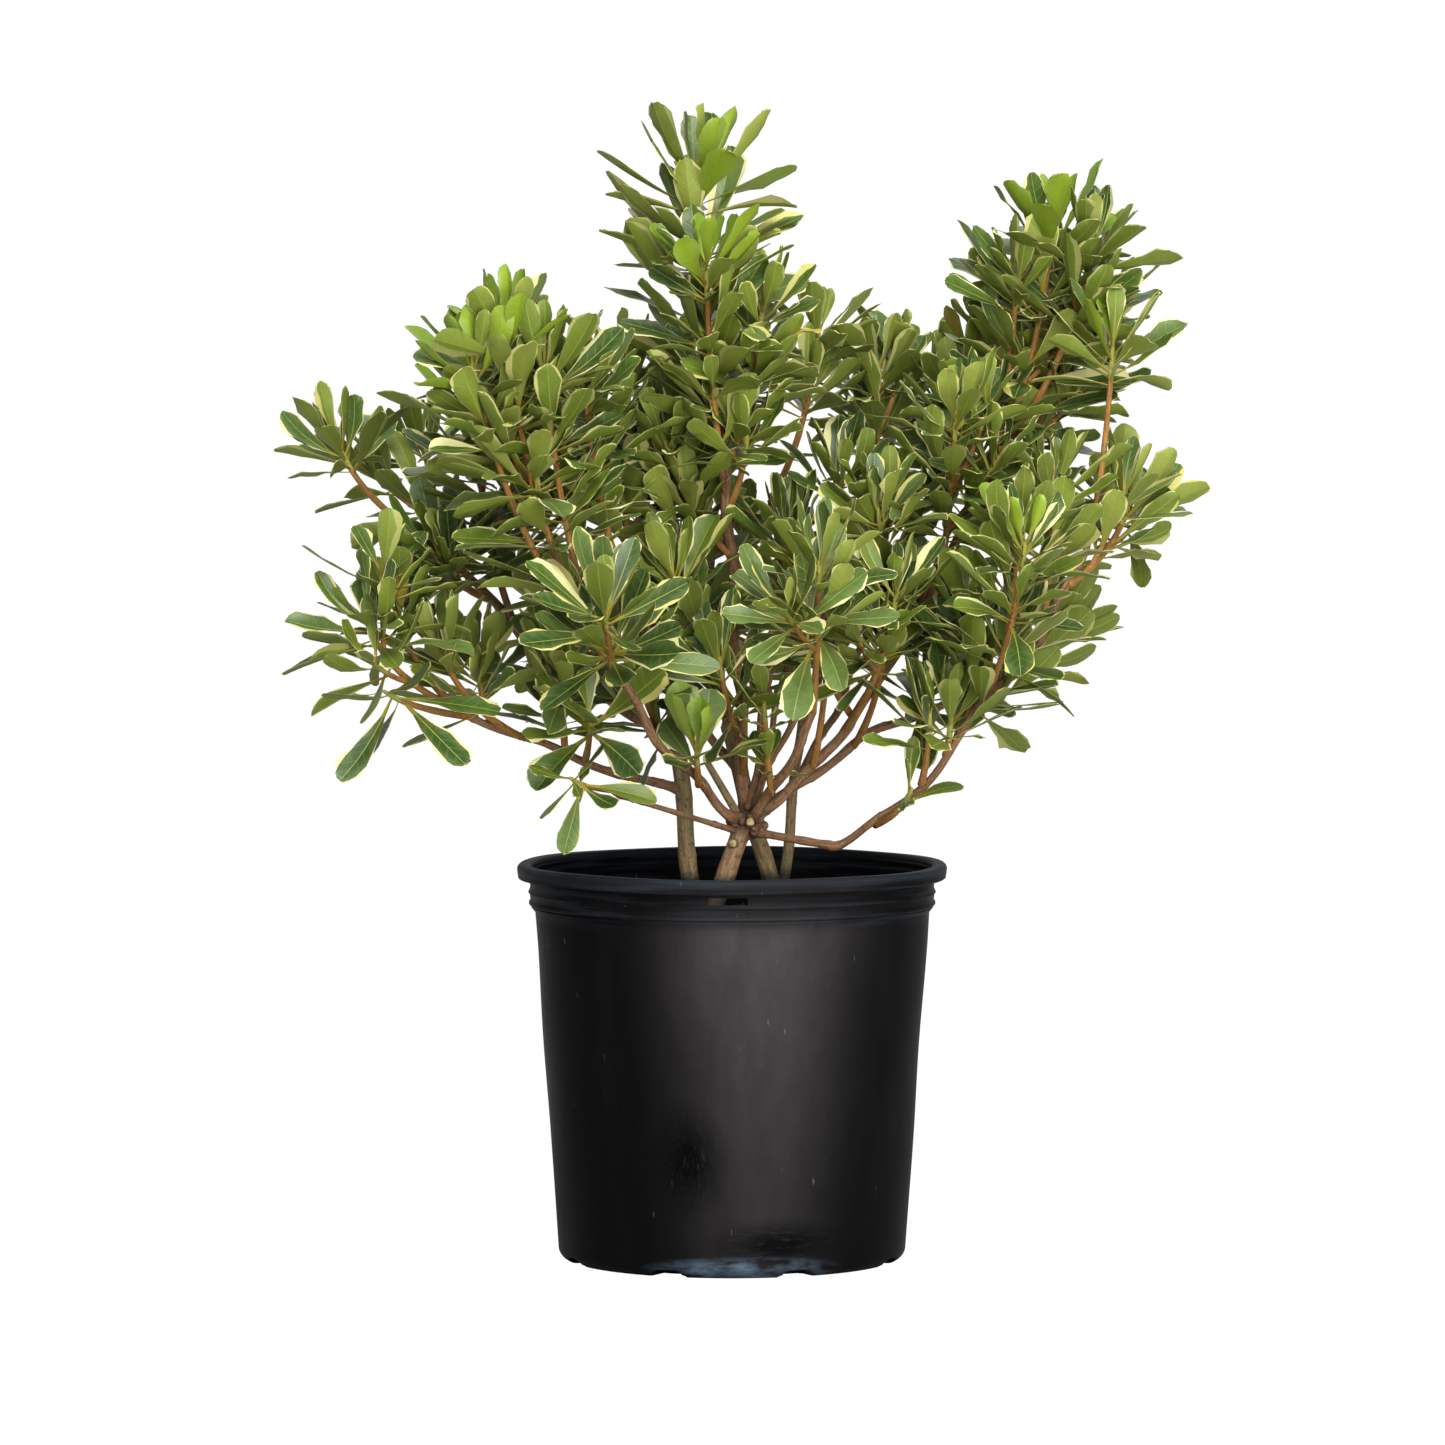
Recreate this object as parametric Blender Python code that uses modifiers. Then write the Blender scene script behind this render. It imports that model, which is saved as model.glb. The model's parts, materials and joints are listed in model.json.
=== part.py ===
# Potted variegated Japanese mock orange: an evergreen shrub with several stems,
# spreading boughs and whorled spoon-shaped leaves, in a round nursery pot.
# Metres, +Z up. The origin is the centre of the pot's flat underside, +X is the
# viewer's right and +Y leads away from the viewer.
import math
import random

import bmesh
import bpy
from mathutils import Matrix, Vector
from mathutils.bvhtree import BVHTree

CLEAR = 0.0003                 # gap kept between pieces that touch
SWELL = 0.00045                # added to a limb's radius where it cuts its neighbours
WELD = 0.00001
SHARP_ANGLE = math.radians(40)

# Pot
POT_HEIGHT = 0.305
POT_STEPS = 40
WALL = 0.0020
FLOOR = 0.0024
LIP_RADIUS = 0.1650            # outside of the rolled lip
LIP_DROP = 0.0110
LIP_WALL = 0.0022
COLLAR_RADIUS = 0.1555         # band under the lip
COLLAR_FOOT = 0.0345           # depth of the band's lower edge below the rim
BODY_RADIUS = 0.1515           # top of the tapering body
FOOT_RADIUS = 0.1335           # body just above the rounded foot
FOOT_ROUND = 0.0100
FOOT_POINTS = 4
SLOT = (0.030, 0.012, 0.0055)  # window under the lip: along, through, high
SLOT_DEPTH = 0.0165            # its middle below the rim
SLOT_TURNS = (-1.9, 90, 270)     # degrees from the front. The back has none
NOTCH = (0.026, 0.024, 0.0130)  # drain notch's cutter: along, through, high
NOTCH_COUNT = 8

# Potting mix
SOIL_TOP = 0.260

# Limbs
STEM_SIDES = 8
BOUGH_SIDES = 6
STEM_RINGS = 9
BOUGH_RINGS = 7
FLARE = 0.35                   # share by which a stem is thicker where it enters the mix
FLARE_HEIGHT = 0.018
BURIED = 0.020                 # length modelled below the flat cut, then cut away
KNOT_PLACE = 0.90
KNOT_SWELL = 0.0060
KNOT_SPREAD = 0.085
KNOT_CROWDING = 1.5            # above 1 the rings crowd towards the knot

# Each stem rises from a place on the mix. sag: how far its middle hangs below the
# straight line. radii: at the mix and at the tip.
STEMS = {
    "stem_left": {"foot": (-0.029, 0.005), "tip": (-0.048, 0.020, 0.464), "sag": 0.0,
                  "radii": (0.0070, 0.0055)},
    "stem_knot": {"foot": (-0.021, -0.030), "tip": (0.014, -0.012, 0.345), "sag": 0.0,
                  "radii": (0.0068, 0.0072), "knot": True},
    "stem_centre": {"foot": (0.039, 0.015), "tip": (-0.004, 0.045, 0.408), "sag": 0.004,
                    "radii": (0.0072, 0.0052)},
    "stem_right": {"foot": (0.037, 0.040), "tip": (0.056, 0.060, 0.430), "sag": 0.0,
                   "radii": (0.0044, 0.0037)},
}

# Each bough leaves its parent at a share of the parent's length.
BOUGHS = {
    "bough_centre": {"parent": "stem_knot", "at": 0.93, "tip": (-0.006, -0.010, 0.622),
                     "sag": 0.0, "radii": (0.0055, 0.0037)},
    "bough_diagonal": {"parent": "stem_knot", "at": 0.93, "tip": (0.206, 0.020, 0.629),
                       "sag": 0.045, "radii": (0.0049, 0.0036)},
    "bough_left_front": {"parent": "stem_knot", "at": 0.90, "tip": (-0.101, -0.130, 0.481),
                         "sag": 0.015, "radii": (0.0044, 0.0034)},
    "bough_low_right": {"parent": "stem_knot", "at": 0.86, "tip": (0.191, -0.090, 0.438),
                        "sag": 0.052, "radii": (0.0037, 0.0033)},
    "bough_right": {"parent": "stem_knot", "at": 0.88, "tip": (0.197, 0.090, 0.432),
                    "sag": -0.015, "radii": (0.0039, 0.0032)},
    "bough_front": {"parent": "stem_knot", "at": 0.90, "tip": (0.061, -0.090, 0.427),
                    "sag": 0.010, "radii": (0.0043, 0.0034)},
    "bough_low_left": {"parent": "stem_knot", "at": 0.84, "tip": (-0.091, -0.090, 0.367),
                       "sag": 0.006, "radii": (0.0028, 0.0025)},
    "bough_right_outer": {"parent": "bough_low_right", "at": 0.97, "tip": (0.269, -0.040, 0.545),
                          "sag": 0.012, "radii": (0.0033, 0.0030)},
    "bough_left_low": {"parent": "stem_left", "at": 0.52, "tip": (-0.224, -0.060, 0.435),
                       "sag": 0.006, "radii": (0.0042, 0.0030)},
    "bough_left_back": {"parent": "stem_left", "at": 0.72, "tip": (-0.225, 0.050, 0.547),
                        "sag": 0.020, "radii": (0.0048, 0.0034)},
    "bough_upper_left": {"parent": "stem_left", "at": 0.97, "tip": (-0.091, -0.020, 0.546),
                         "sag": 0.0, "radii": (0.0044, 0.0034)},
    "bough_back_left": {"parent": "stem_centre", "at": 0.82, "tip": (-0.110, 0.165, 0.535),
                        "sag": 0.015, "radii": (0.0042, 0.0030)},
    "bough_back_mid": {"parent": "stem_centre", "at": 0.98, "tip": (-0.020, 0.190, 0.585),
                       "sag": 0.015, "radii": (0.0044, 0.0030)},
    "bough_back_centre": {"parent": "stem_right", "at": 0.97, "tip": (0.030, 0.090, 0.580),
                          "sag": 0.004, "radii": (0.0038, 0.0030)},
    "bough_back_upper": {"parent": "stem_right", "at": 0.90, "tip": (0.111, 0.120, 0.579),
                         "sag": 0.010, "radii": (0.0036, 0.0030)},
    "bough_back_right": {"parent": "stem_right", "at": 0.62, "tip": (0.135, 0.200, 0.545),
                         "sag": 0.015, "radii": (0.0036, 0.0028)},
}

# Foliage. Each mass is one leader that leaves a limb and ends at its apex, with
# side twigs and whorled leaves. leaves: how many leaves its leader is given.
TWIG_RADII = (0.0028, 0.0022)
TWIG_RINGS = 4
LEADER_SAG = 0.10
LEADER_SKIP = 0.006            # stretch beside its limb that the leader's test leaves out
LEADER_TESTS = 7
SIDESTEPS = (0.0, 0.016, -0.016, 0.032, -0.032)
SIDE_RINGS = 2
LEAF_LENGTH = 0.076
LEAF_WIDTH = 0.036
LEAF_HALF_THICKNESS = 0.0009   # at its root, where it is sunk in the twig
LEAF_WIDEST = 0.62             # share of the length
LEAF_TIP_WIDTH = 0.50          # share of the width, across its blunt end
LEAF_DROOP = 0.0030            # its end bends down by this much
GOLDEN_ANGLE = math.radians(137.5)
TOP_PITCH = math.radians(26)   # of the topmost leaf from the leader
LOW_PITCH = math.radians(98)
PITCH_EASE = 0.8
PITCH_PLAY = 0.12
TOP_SIZE = 0.62                # length of the topmost leaf as a share of a full one
GROWN_SHARE = 0.45             # share of the spiral after which leaves are full size
FIRST_LEAF = 0.3               # place of the topmost leaf, in leaves from the apex
LEAFY_LENGTH = 0.150           # longest stretch of a leader with leaves
LEAFY_SHARE = 0.80
CROWDING = 1.20                # above 1 the leaves crowd towards the apex
SIDE_TWIG_PLACES = (0.42, 0.66)
SIDE_TWIG_LEAVES = 3
SIDE_TWIG_LENGTH = (0.045, 0.075)
SIDE_TWIG_PITCH = math.radians(55)
SIDE_TURN_PLAY = 0.6
SIDE_TWIG_LIFT = 0.15          # share of its length by which a side twig's end turns up
LEAF_SPARE = 0.0006            # room kept round a leaf against other masses
LEAF_SHRINKS = (1.0, 0.8, 0.64)  # tried in turn where a leaf would meet something
OWN_CROSSING = 0.35            # leaves of one mass may meet only in this share of their length
CROWN_LOW = (-0.354, -0.275, 0.328)
CROWN_HIGH = (0.362, 0.335, 0.890)

MASSES = {
    "foliage_top": {"parent": "bough_centre", "at": 1.0, "apex": (-0.025, 0.030, 0.850),
                    "leaves": 15},
    "foliage_top_front": {"parent": "bough_centre", "at": 0.86, "apex": (-0.020, -0.040, 0.765),
                          "leaves": 9},
    "foliage_waist": {"parent": "bough_centre", "at": 0.72, "apex": (-0.050, 0.030, 0.615),
                      "leaves": 6},
    "foliage_back_top": {"parent": "bough_back_centre", "at": 1.0, "apex": (0.065, 0.100, 0.717),
                         "leaves": 9},
    "foliage_back_upper": {"parent": "bough_back_upper", "at": 1.0, "apex": (0.115, 0.130, 0.685),
                           "leaves": 7},
    "foliage_right_upper": {"parent": "bough_diagonal", "at": 0.84, "apex": (0.224, 0.090, 0.741),
                            "leaves": 8},
    "foliage_right_top": {"parent": "bough_diagonal", "at": 1.0, "apex": (0.250, 0.010, 0.792),
                          "leaves": 12},
    "foliage_right_top_inner": {"parent": "bough_diagonal", "at": 0.92,
                                "apex": (0.265, 0.070, 0.705), "leaves": 6},
    "foliage_right_inner": {"parent": "bough_diagonal", "at": 0.76,
                            "apex": (0.170, -0.050, 0.655), "leaves": 7},
    "foliage_right_tall": {"parent": "bough_right_outer", "at": 1.0,
                           "apex": (0.290, -0.030, 0.705), "leaves": 10},
    "foliage_right_far": {"parent": "bough_right_outer", "at": 0.85,
                          "apex": (0.298, 0.030, 0.585), "leaves": 7},
    "foliage_right_front": {"parent": "bough_low_right", "at": 1.0,
                            "apex": (0.220, -0.140, 0.558), "leaves": 10},
    "foliage_right_low": {"parent": "bough_low_right", "at": 0.84,
                          "apex": (0.166, -0.090, 0.428), "leaves": 7},
    "foliage_right_back_low": {"parent": "bough_right", "at": 1.0,
                               "apex": (0.252, 0.120, 0.484), "leaves": 9},
    "foliage_right_mid": {"parent": "bough_right", "at": 0.70, "apex": (0.155, 0.030, 0.475),
                          "leaves": 7},
    "foliage_low_right": {"parent": "bough_low_right", "at": 0.55,
                          "apex": (0.135, -0.100, 0.370), "leaves": 6},
    "foliage_front": {"parent": "bough_front", "at": 1.0, "apex": (0.065, -0.170, 0.545),
                      "leaves": 12},
    "foliage_centre_upper": {"parent": "bough_diagonal", "at": 0.58,
                             "apex": (0.115, -0.030, 0.585), "leaves": 7},
    "foliage_centre_lower": {"parent": "bough_diagonal", "at": 0.38,
                             "apex": (0.125, -0.090, 0.520), "leaves": 7},
    "foliage_left_front": {"parent": "bough_left_front", "at": 1.0,
                           "apex": (-0.172, -0.100, 0.722), "leaves": 13},
    "foliage_rosette": {"parent": "bough_left_front", "at": 0.88,
                        "apex": (-0.095, -0.190, 0.510), "leaves": 10, "size": 1.15},
    "foliage_upper_left": {"parent": "bough_upper_left", "at": 1.0,
                           "apex": (-0.110, -0.020, 0.670), "leaves": 9},
    "foliage_upper_left_back": {"parent": "bough_upper_left", "at": 0.75,
                                "apex": (-0.085, 0.070, 0.670), "leaves": 9},
    "foliage_left_inner": {"parent": "bough_left_back", "at": 0.68,
                           "apex": (-0.200, -0.020, 0.670), "leaves": 10},
    "foliage_left_outer": {"parent": "bough_left_back", "at": 1.0,
                           "apex": (-0.304, 0.060, 0.624), "leaves": 10},
    "foliage_left_back": {"parent": "bough_left_back", "at": 0.92,
                          "apex": (-0.240, 0.130, 0.622), "leaves": 10},
    "foliage_left_mid": {"parent": "bough_left_back", "at": 0.80,
                         "apex": (-0.224, -0.030, 0.545), "leaves": 7},
    "foliage_low_left_outer": {"parent": "bough_left_low", "at": 1.0,
                               "apex": (-0.292, -0.090, 0.497), "leaves": 10},
    "foliage_low_left_inner": {"parent": "bough_left_low", "at": 0.78,
                               "apex": (-0.195, -0.030, 0.462), "leaves": 7},
    "foliage_low_left": {"parent": "bough_low_left", "at": 1.0,
                         "apex": (-0.122, -0.130, 0.380), "leaves": 7},
    "foliage_left_middle": {"parent": "bough_left_low", "at": 0.48,
                            "apex": (-0.130, -0.050, 0.466), "leaves": 7},
    "foliage_centre_low": {"parent": "bough_left_front", "at": 0.32,
                           "apex": (-0.027, -0.090, 0.402), "leaves": 7},
    "foliage_centre_back": {"parent": "stem_left", "at": 1.0, "apex": (-0.030, 0.040, 0.545),
                            "leaves": 7},
    "foliage_far_left": {"parent": "bough_back_left", "at": 1.0, "apex": (-0.170, 0.240, 0.650),
                         "leaves": 13},
    "foliage_far_mid": {"parent": "bough_back_mid", "at": 1.0, "apex": (-0.030, 0.265, 0.682),
                        "leaves": 13},
    "foliage_far_right": {"parent": "bough_back_right", "at": 1.0, "apex": (0.165, 0.265, 0.670),
                          "leaves": 13},
    "foliage_far_low": {"parent": "bough_back_mid", "at": 0.45, "apex": (0.045, 0.215, 0.495),
                        "leaves": 10},
    "foliage_far_low_left": {"parent": "bough_back_left", "at": 0.55,
                             "apex": (-0.135, 0.205, 0.480), "leaves": 10},
}

# Looks: base colour, roughness
COLOURS = {
    "pot": ((0.020, 0.020, 0.022, 1.0), 0.42),
    "soil": ((0.060, 0.042, 0.028, 1.0), 0.95),
    "stem": ((0.230, 0.170, 0.095, 1.0), 0.75),
    "bough": ((0.260, 0.160, 0.080, 1.0), 0.70),
    "foliage": ((0.190, 0.290, 0.140, 1.0), 0.60),
}


def make_collection(name):
    collection = bpy.data.collections.new(name)
    bpy.context.scene.collection.children.link(collection)
    return collection


def make_material(kind):
    material = bpy.data.materials.new(kind)
    material.use_nodes = True
    shader = material.node_tree.nodes["Principled BSDF"]
    colour, roughness = COLOURS[kind]
    shader.inputs["Base Color"].default_value = colour
    shader.inputs["Roughness"].default_value = roughness
    shader.inputs["Metallic"].default_value = 0.0
    return material


def make_object(name, mesh, collection):
    thing = bpy.data.objects.new(name, mesh)
    collection.objects.link(thing)
    return thing


def make_cutter(name, mesh, cutters):
    cutter = make_object(name, mesh, cutters)
    cutter.hide_render = True
    cutter.display_type = "WIRE"
    return cutter


def finish(thing, kind):
    thing.data.materials.clear()
    thing.data.materials.append(make_material(kind))
    thing.data.shade_smooth()
    thing.data.set_sharp_from_angle(angle=SHARP_ANGLE)


def remove(thing):
    data = thing.data
    bpy.data.objects.remove(thing)
    if isinstance(data, bpy.types.Curve):
        bpy.data.curves.remove(data)
    else:
        bpy.data.meshes.remove(data)


def evaluated_mesh(thing):
    graph = bpy.context.evaluated_depsgraph_get()
    return bpy.data.meshes.new_from_object(thing.evaluated_get(graph))


def turned(name, profile, collection):
    """Turns a profile round +Z. It runs up the inside and down the outside."""
    mesh = bpy.data.meshes.new(name)
    edges = [(index, index + 1) for index in range(len(profile) - 1)]
    mesh.from_pydata([(radius, 0.0, height) for radius, height in profile], edges, [])
    thing = make_object(name, mesh, collection)
    screw = thing.modifiers.new("turn", "SCREW")
    screw.steps = POT_STEPS
    screw.render_steps = POT_STEPS
    screw.use_merge_vertices = True
    screw.merge_threshold = 0.0001
    return thing


def inner_foot():
    """Radius and height of the pot's inner corner above its rounded foot."""
    return FOOT_RADIUS - WALL, FOOT_ROUND + FLOOR


def inner_wall_radius(height):
    """Radius of the pot's inside where its wall is straight."""
    foot_radius, foot_height = inner_foot()
    top_height = POT_HEIGHT - COLLAR_FOOT
    share = (height - foot_height) / (top_height - foot_height)
    return foot_radius + (BODY_RADIUS - WALL - foot_radius) * share


def pot_profile():
    rim = POT_HEIGHT
    lip_foot = rim - LIP_DROP
    step = rim - COLLAR_FOOT
    inner_collar = COLLAR_RADIUS - WALL
    profile = [(0.0, FLOOR), (FOOT_RADIUS - FOOT_ROUND - WALL, FLOOR), inner_foot()]
    profile += [(BODY_RADIUS - WALL, step), (inner_collar, step + 0.004)]
    profile += [(inner_collar, lip_foot), (inner_collar + 0.0015, rim - 0.0025)]
    middle = (inner_collar + LIP_RADIUS) / 2
    profile += [(middle - 0.002, rim), (middle + 0.002, rim), (LIP_RADIUS - 0.001, rim - 0.003)]
    profile += [(LIP_RADIUS, rim - 0.006), (LIP_RADIUS - 0.0005, lip_foot)]
    profile += [(LIP_RADIUS - LIP_WALL, lip_foot), (LIP_RADIUS - LIP_WALL, rim - 0.005)]
    profile += [(COLLAR_RADIUS + 0.001, rim - 0.005), (COLLAR_RADIUS, lip_foot)]
    profile += [(COLLAR_RADIUS - 0.001, step + 0.0035), (BODY_RADIUS, step)]
    profile += foot_arc()
    profile.append((0.0, 0.0))
    return profile


def foot_arc():
    """The rounded corner from the tapering body to the flat underside."""
    centre = FOOT_RADIUS - FOOT_ROUND
    turns = [math.pi / 2 * index / (FOOT_POINTS - 1) for index in range(FOOT_POINTS)]
    return [(centre + FOOT_ROUND * math.cos(turn), FOOT_ROUND * (1 - math.sin(turn)))
            for turn in turns]


def add_box_ring(name, size, radius, height, turns, cutters):
    """Boxes round the pot's axis, joined in one cutter. Turns are degrees from the front."""
    bm = bmesh.new()
    for degrees in turns:
        turn = Matrix.Rotation(math.radians(degrees), 4, "Z")
        place = Matrix.Translation((0.0, -radius, height))
        scale = Matrix.Diagonal((*size, 1.0))
        bmesh.ops.create_cube(bm, size=1.0, matrix=turn @ place @ scale)
    mesh = bpy.data.meshes.new(name)
    bm.to_mesh(mesh)
    bm.free()
    return make_cutter(name, mesh, cutters)


def cut(thing, cutter):
    """Takes the cutter's space out of the piece, for good."""
    boolean = thing.modifiers.new("cut", "BOOLEAN")
    boolean.operation = "DIFFERENCE"
    boolean.object = cutter
    boolean.solver = "MANIFOLD"
    mesh = evaluated_mesh(thing)
    thing.modifiers.clear()
    old = thing.data
    thing.data = mesh
    bpy.data.meshes.remove(old)


def build_pot(parts, cutters):
    pot = turned("pot", pot_profile(), parts)
    slot_radius = COLLAR_RADIUS - WALL / 2
    slots = add_box_ring("slots", SLOT, slot_radius, POT_HEIGHT - SLOT_DEPTH, SLOT_TURNS, cutters)
    gap = 360.0 / NOTCH_COUNT
    notch_turns = [gap * (index + 0.5) for index in range(NOTCH_COUNT)]
    notches = add_box_ring("notches", NOTCH, FOOT_RADIUS, 0.0, notch_turns, cutters)
    for cutter in (slots, notches):
        cut(pot, cutter)
    finish(pot, "pot")


def build_soil(parts):
    foot_radius, foot_height = inner_foot()
    floor_radius = FOOT_RADIUS - FOOT_ROUND - WALL
    profile = [(0.0, SOIL_TOP), (inner_wall_radius(SOIL_TOP) - CLEAR, SOIL_TOP),
               (foot_radius - CLEAR, foot_height), (floor_radius - CLEAR, FLOOR + CLEAR),
               (0.0, FLOOR + CLEAR)]
    soil = turned("soil", profile, parts)
    finish(soil, "soil")


class Bend:
    """A limb's centre line: a quadratic curve between two points."""

    def __init__(self, start, end, sag, shift=(0.0, 0.0, 0.0)):
        self.start = Vector(start)
        self.end = Vector(end)
        self.control = (self.start + self.end) / 2 + Vector(shift) - Vector((0, 0, 2 * sag))

    def point(self, share):
        back = 1 - share
        middle = 2 * share * back * self.control
        return back * back * self.start + middle + share * share * self.end

    def heading(self, share):
        slope = (1 - share) * (self.control - self.start) + share * (self.end - self.control)
        return slope.normalized()


class Limb:
    """A stem or bough: its centre line, radii and number of sides."""

    def __init__(self, name, row, line, sides, rings):
        self.name = name
        self.line = line
        self.thick, self.thin = row["radii"]
        self.knot = row.get("knot", False)
        self.flared = "foot" in row
        self.sides = sides
        self.rings = rings

    def radius(self, share):
        radius = self.thick + (self.thin - self.thick) * share
        if self.knot:
            radius += KNOT_SWELL * math.exp(-((share - KNOT_PLACE) / KNOT_SPREAD) ** 2)
        if self.flared:
            height = share * (self.line.end - self.line.start).length - BURIED
            radius *= 1 + FLARE * math.exp(-max(height, 0.0) / FLARE_HEIGHT)
        return radius

    def shares(self):
        """Places of the rings, closer together at the tip of a knotted stem."""
        even = [index / (self.rings - 1) for index in range(self.rings)]
        return [1 - (1 - share) ** KNOT_CROWDING for share in even] if self.knot else even

    def mesh(self, swell=0.0):
        shares = self.shares()
        points = [self.line.point(share) for share in shares]
        points[-1] += self.line.heading(1.0) * swell
        radii = [self.radius(share) + swell for share in shares]
        return tube_mesh(self.name, points, radii, self.sides)


def triangle_profile():
    """A three-cornered outline of unit radius for the twigs."""
    curve = bpy.data.curves.new("twig_outline", "CURVE")
    curve.dimensions = "2D"
    spline = curve.splines.new("POLY")
    spline.points.add(2)
    for index, point in enumerate(spline.points):
        turn = math.tau * index / 3
        point.co = (math.cos(turn), math.sin(turn), 0.0, 1.0)
    spline.use_cyclic_u = True
    return curve


def tube_mesh(name, points, radii, sides):
    """A limb's closed surface, from a curve with a bevel and filled caps."""
    curve = bpy.data.curves.new(name, "CURVE")
    curve.dimensions = "3D"
    curve.use_fill_caps = True
    spline = curve.splines.new("POLY")
    spline.points.add(len(points) - 1)
    for control, point, radius in zip(spline.points, points, radii):
        control.co = (*point, 1.0)
        control.radius = radius
    outline = None
    if sides == 3:
        scene = bpy.context.scene.collection
        outline = make_object("twig_outline", triangle_profile(), scene)
        curve.bevel_mode = "OBJECT"
        curve.bevel_object = outline
    else:
        curve.bevel_depth = 1.0
        curve.bevel_resolution = sides // 2 - 2
    thing = make_object(name, curve, bpy.context.scene.collection)
    mesh = evaluated_mesh(thing)
    remove(thing)
    if outline:
        remove(outline)
    bm = bmesh.new()
    bm.from_mesh(mesh)
    bmesh.ops.remove_doubles(bm, verts=bm.verts, dist=WELD)
    bmesh.ops.recalc_face_normals(bm, faces=bm.faces)
    bm.to_mesh(mesh)
    bm.free()
    return mesh


def solid_of(mesh):
    """A mesh as corner and face lists, for the meeting tests."""
    corners = [vertex.co.copy() for vertex in mesh.vertices]
    return corners, [tuple(face.vertices) for face in mesh.polygons]


def tree_of(solids):
    """One search tree over several solids."""
    corners, faces = [], []
    for solid_corners, solid_faces in solids:
        first = len(corners)
        corners += solid_corners
        faces += [tuple(first + corner for corner in face) for face in solid_faces]
    return BVHTree.FromPolygons(corners, faces) if faces else None


def meets(tree, solid):
    return bool(tree and tree.overlap(BVHTree.FromPolygons(*solid)))


def limb_of(name, row, limbs):
    if "parent" in row:
        start = limbs[row["parent"]].line.point(row["at"])
        return Limb(name, row, Bend(start, row["tip"], row["sag"]), BOUGH_SIDES, BOUGH_RINGS)
    above = Vector((*row["foot"], SOIL_TOP + CLEAR))
    tip = Vector(row["tip"])
    below = above - (tip - above).normalized() * BURIED
    return Limb(name, row, Bend(below, tip, row["sag"]), STEM_SIDES, STEM_RINGS)


def build_limbs(parts, cutters):
    """Stems and boughs, each cut clear of its parent and of its earlier neighbours."""
    ground = add_ground(cutters)
    limbs, swollen = {}, {}
    for name, row in {**STEMS, **BOUGHS}.items():
        limb = limb_of(name, row, limbs)
        thing = make_object(name, limb.mesh(), parts)
        tests = solid_of(thing.data)
        near = [other for other in limbs if meets(tree_of([solid_of(swollen[other].data)]), tests)]
        for other in near:
            cut(thing, swollen[other])
        if name in STEMS:
            cut(thing, ground)
        keep_largest(thing)
        finish(thing, "stem" if name in STEMS else "bough")
        limbs[name] = limb
        swollen[name] = make_cutter("around_" + name, limb.mesh(SWELL), cutters)
        print(name, "cut by", near)
    return limbs, swollen


def add_ground(cutters):
    """The space below the stems' flat cuts."""
    bm = bmesh.new()
    top = SOIL_TOP + CLEAR
    place = Matrix.Translation((0.0, 0.0, top - BODY_RADIUS / 2))
    bmesh.ops.create_cube(bm, size=BODY_RADIUS, matrix=place)
    mesh = bpy.data.meshes.new("ground")
    bm.to_mesh(mesh)
    bm.free()
    return make_cutter("ground", mesh, cutters)


def islands(bm):
    """The connected groups of faces."""
    groups, seen = [], set()
    for face in bm.faces:
        if face in seen:
            continue
        group, stack = [], [face]
        seen.add(face)
        while stack:
            current = stack.pop()
            group.append(current)
            for edge in current.edges:
                for other in edge.link_faces:
                    if other not in seen:
                        seen.add(other)
                        stack.append(other)
        groups.append(group)
    return groups


def signed_volume(faces):
    """Positive for an outer surface, negative for a sealed hollow."""
    total = 0.0
    for face in faces:
        first = face.verts[0].co
        for second, third in zip(face.verts[1:], face.verts[2:]):
            total += first.dot(second.co.cross(third.co)) / 6
    return total


def keep_largest(thing):
    """Fills sealed hollows and drops loose scraps: only the largest surface stays."""
    bm = bmesh.new()
    bm.from_mesh(thing.data)
    groups = sorted(islands(bm), key=signed_volume)
    for group in groups[:-1]:
        bmesh.ops.delete(bm, geom=group, context="FACES")
    bmesh.ops.delete(bm, geom=[vertex for vertex in bm.verts if not vertex.link_faces],
                     context="VERTS")
    bm.to_mesh(thing.data)
    bm.free()
    return len(groups) - 1


def leaf_corners(size, spare=0.0):
    """Six corners of a spoon-shaped leaf along +Y, blunt at its end. spare widens it."""
    length = LEAF_LENGTH * size + spare
    half = LEAF_WIDTH * size / 2 + spare
    thick = LEAF_HALF_THICKNESS + spare
    widest = length * LEAF_WIDEST
    droop = -LEAF_DROOP * size
    blunt = half * LEAF_TIP_WIDTH
    return [Vector(corner) for corner in (
        (0.0, 0.0, thick), (0.0, 0.0, -thick), (-half, widest, 0.0), (half, widest, 0.0),
        (-blunt, length, droop), (blunt, length, droop))]


def hull(corners):
    """A mesh of the convex hull of a few corners."""
    bm = bmesh.new()
    for corner in corners:
        bm.verts.new(corner)
    bmesh.ops.convex_hull(bm, input=bm.verts)
    bmesh.ops.recalc_face_normals(bm, faces=bm.faces)
    mesh = bpy.data.meshes.new("leaf")
    bm.to_mesh(mesh)
    bm.free()
    return mesh


def leaf_place(root, axis, turn, pitch):
    """Stands a leaf on a twig: its upper face looks towards the twig's apex."""
    side = axis.orthogonal().normalized()
    side = Matrix.Rotation(turn, 3, axis) @ side
    along = axis * math.cos(pitch) + side * math.sin(pitch)
    upper = (axis - along * axis.dot(along)).normalized()
    across = along.cross(upper)
    basis = Matrix((across, along, upper)).transposed().to_4x4()
    return Matrix.Translation(root) @ basis


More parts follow.
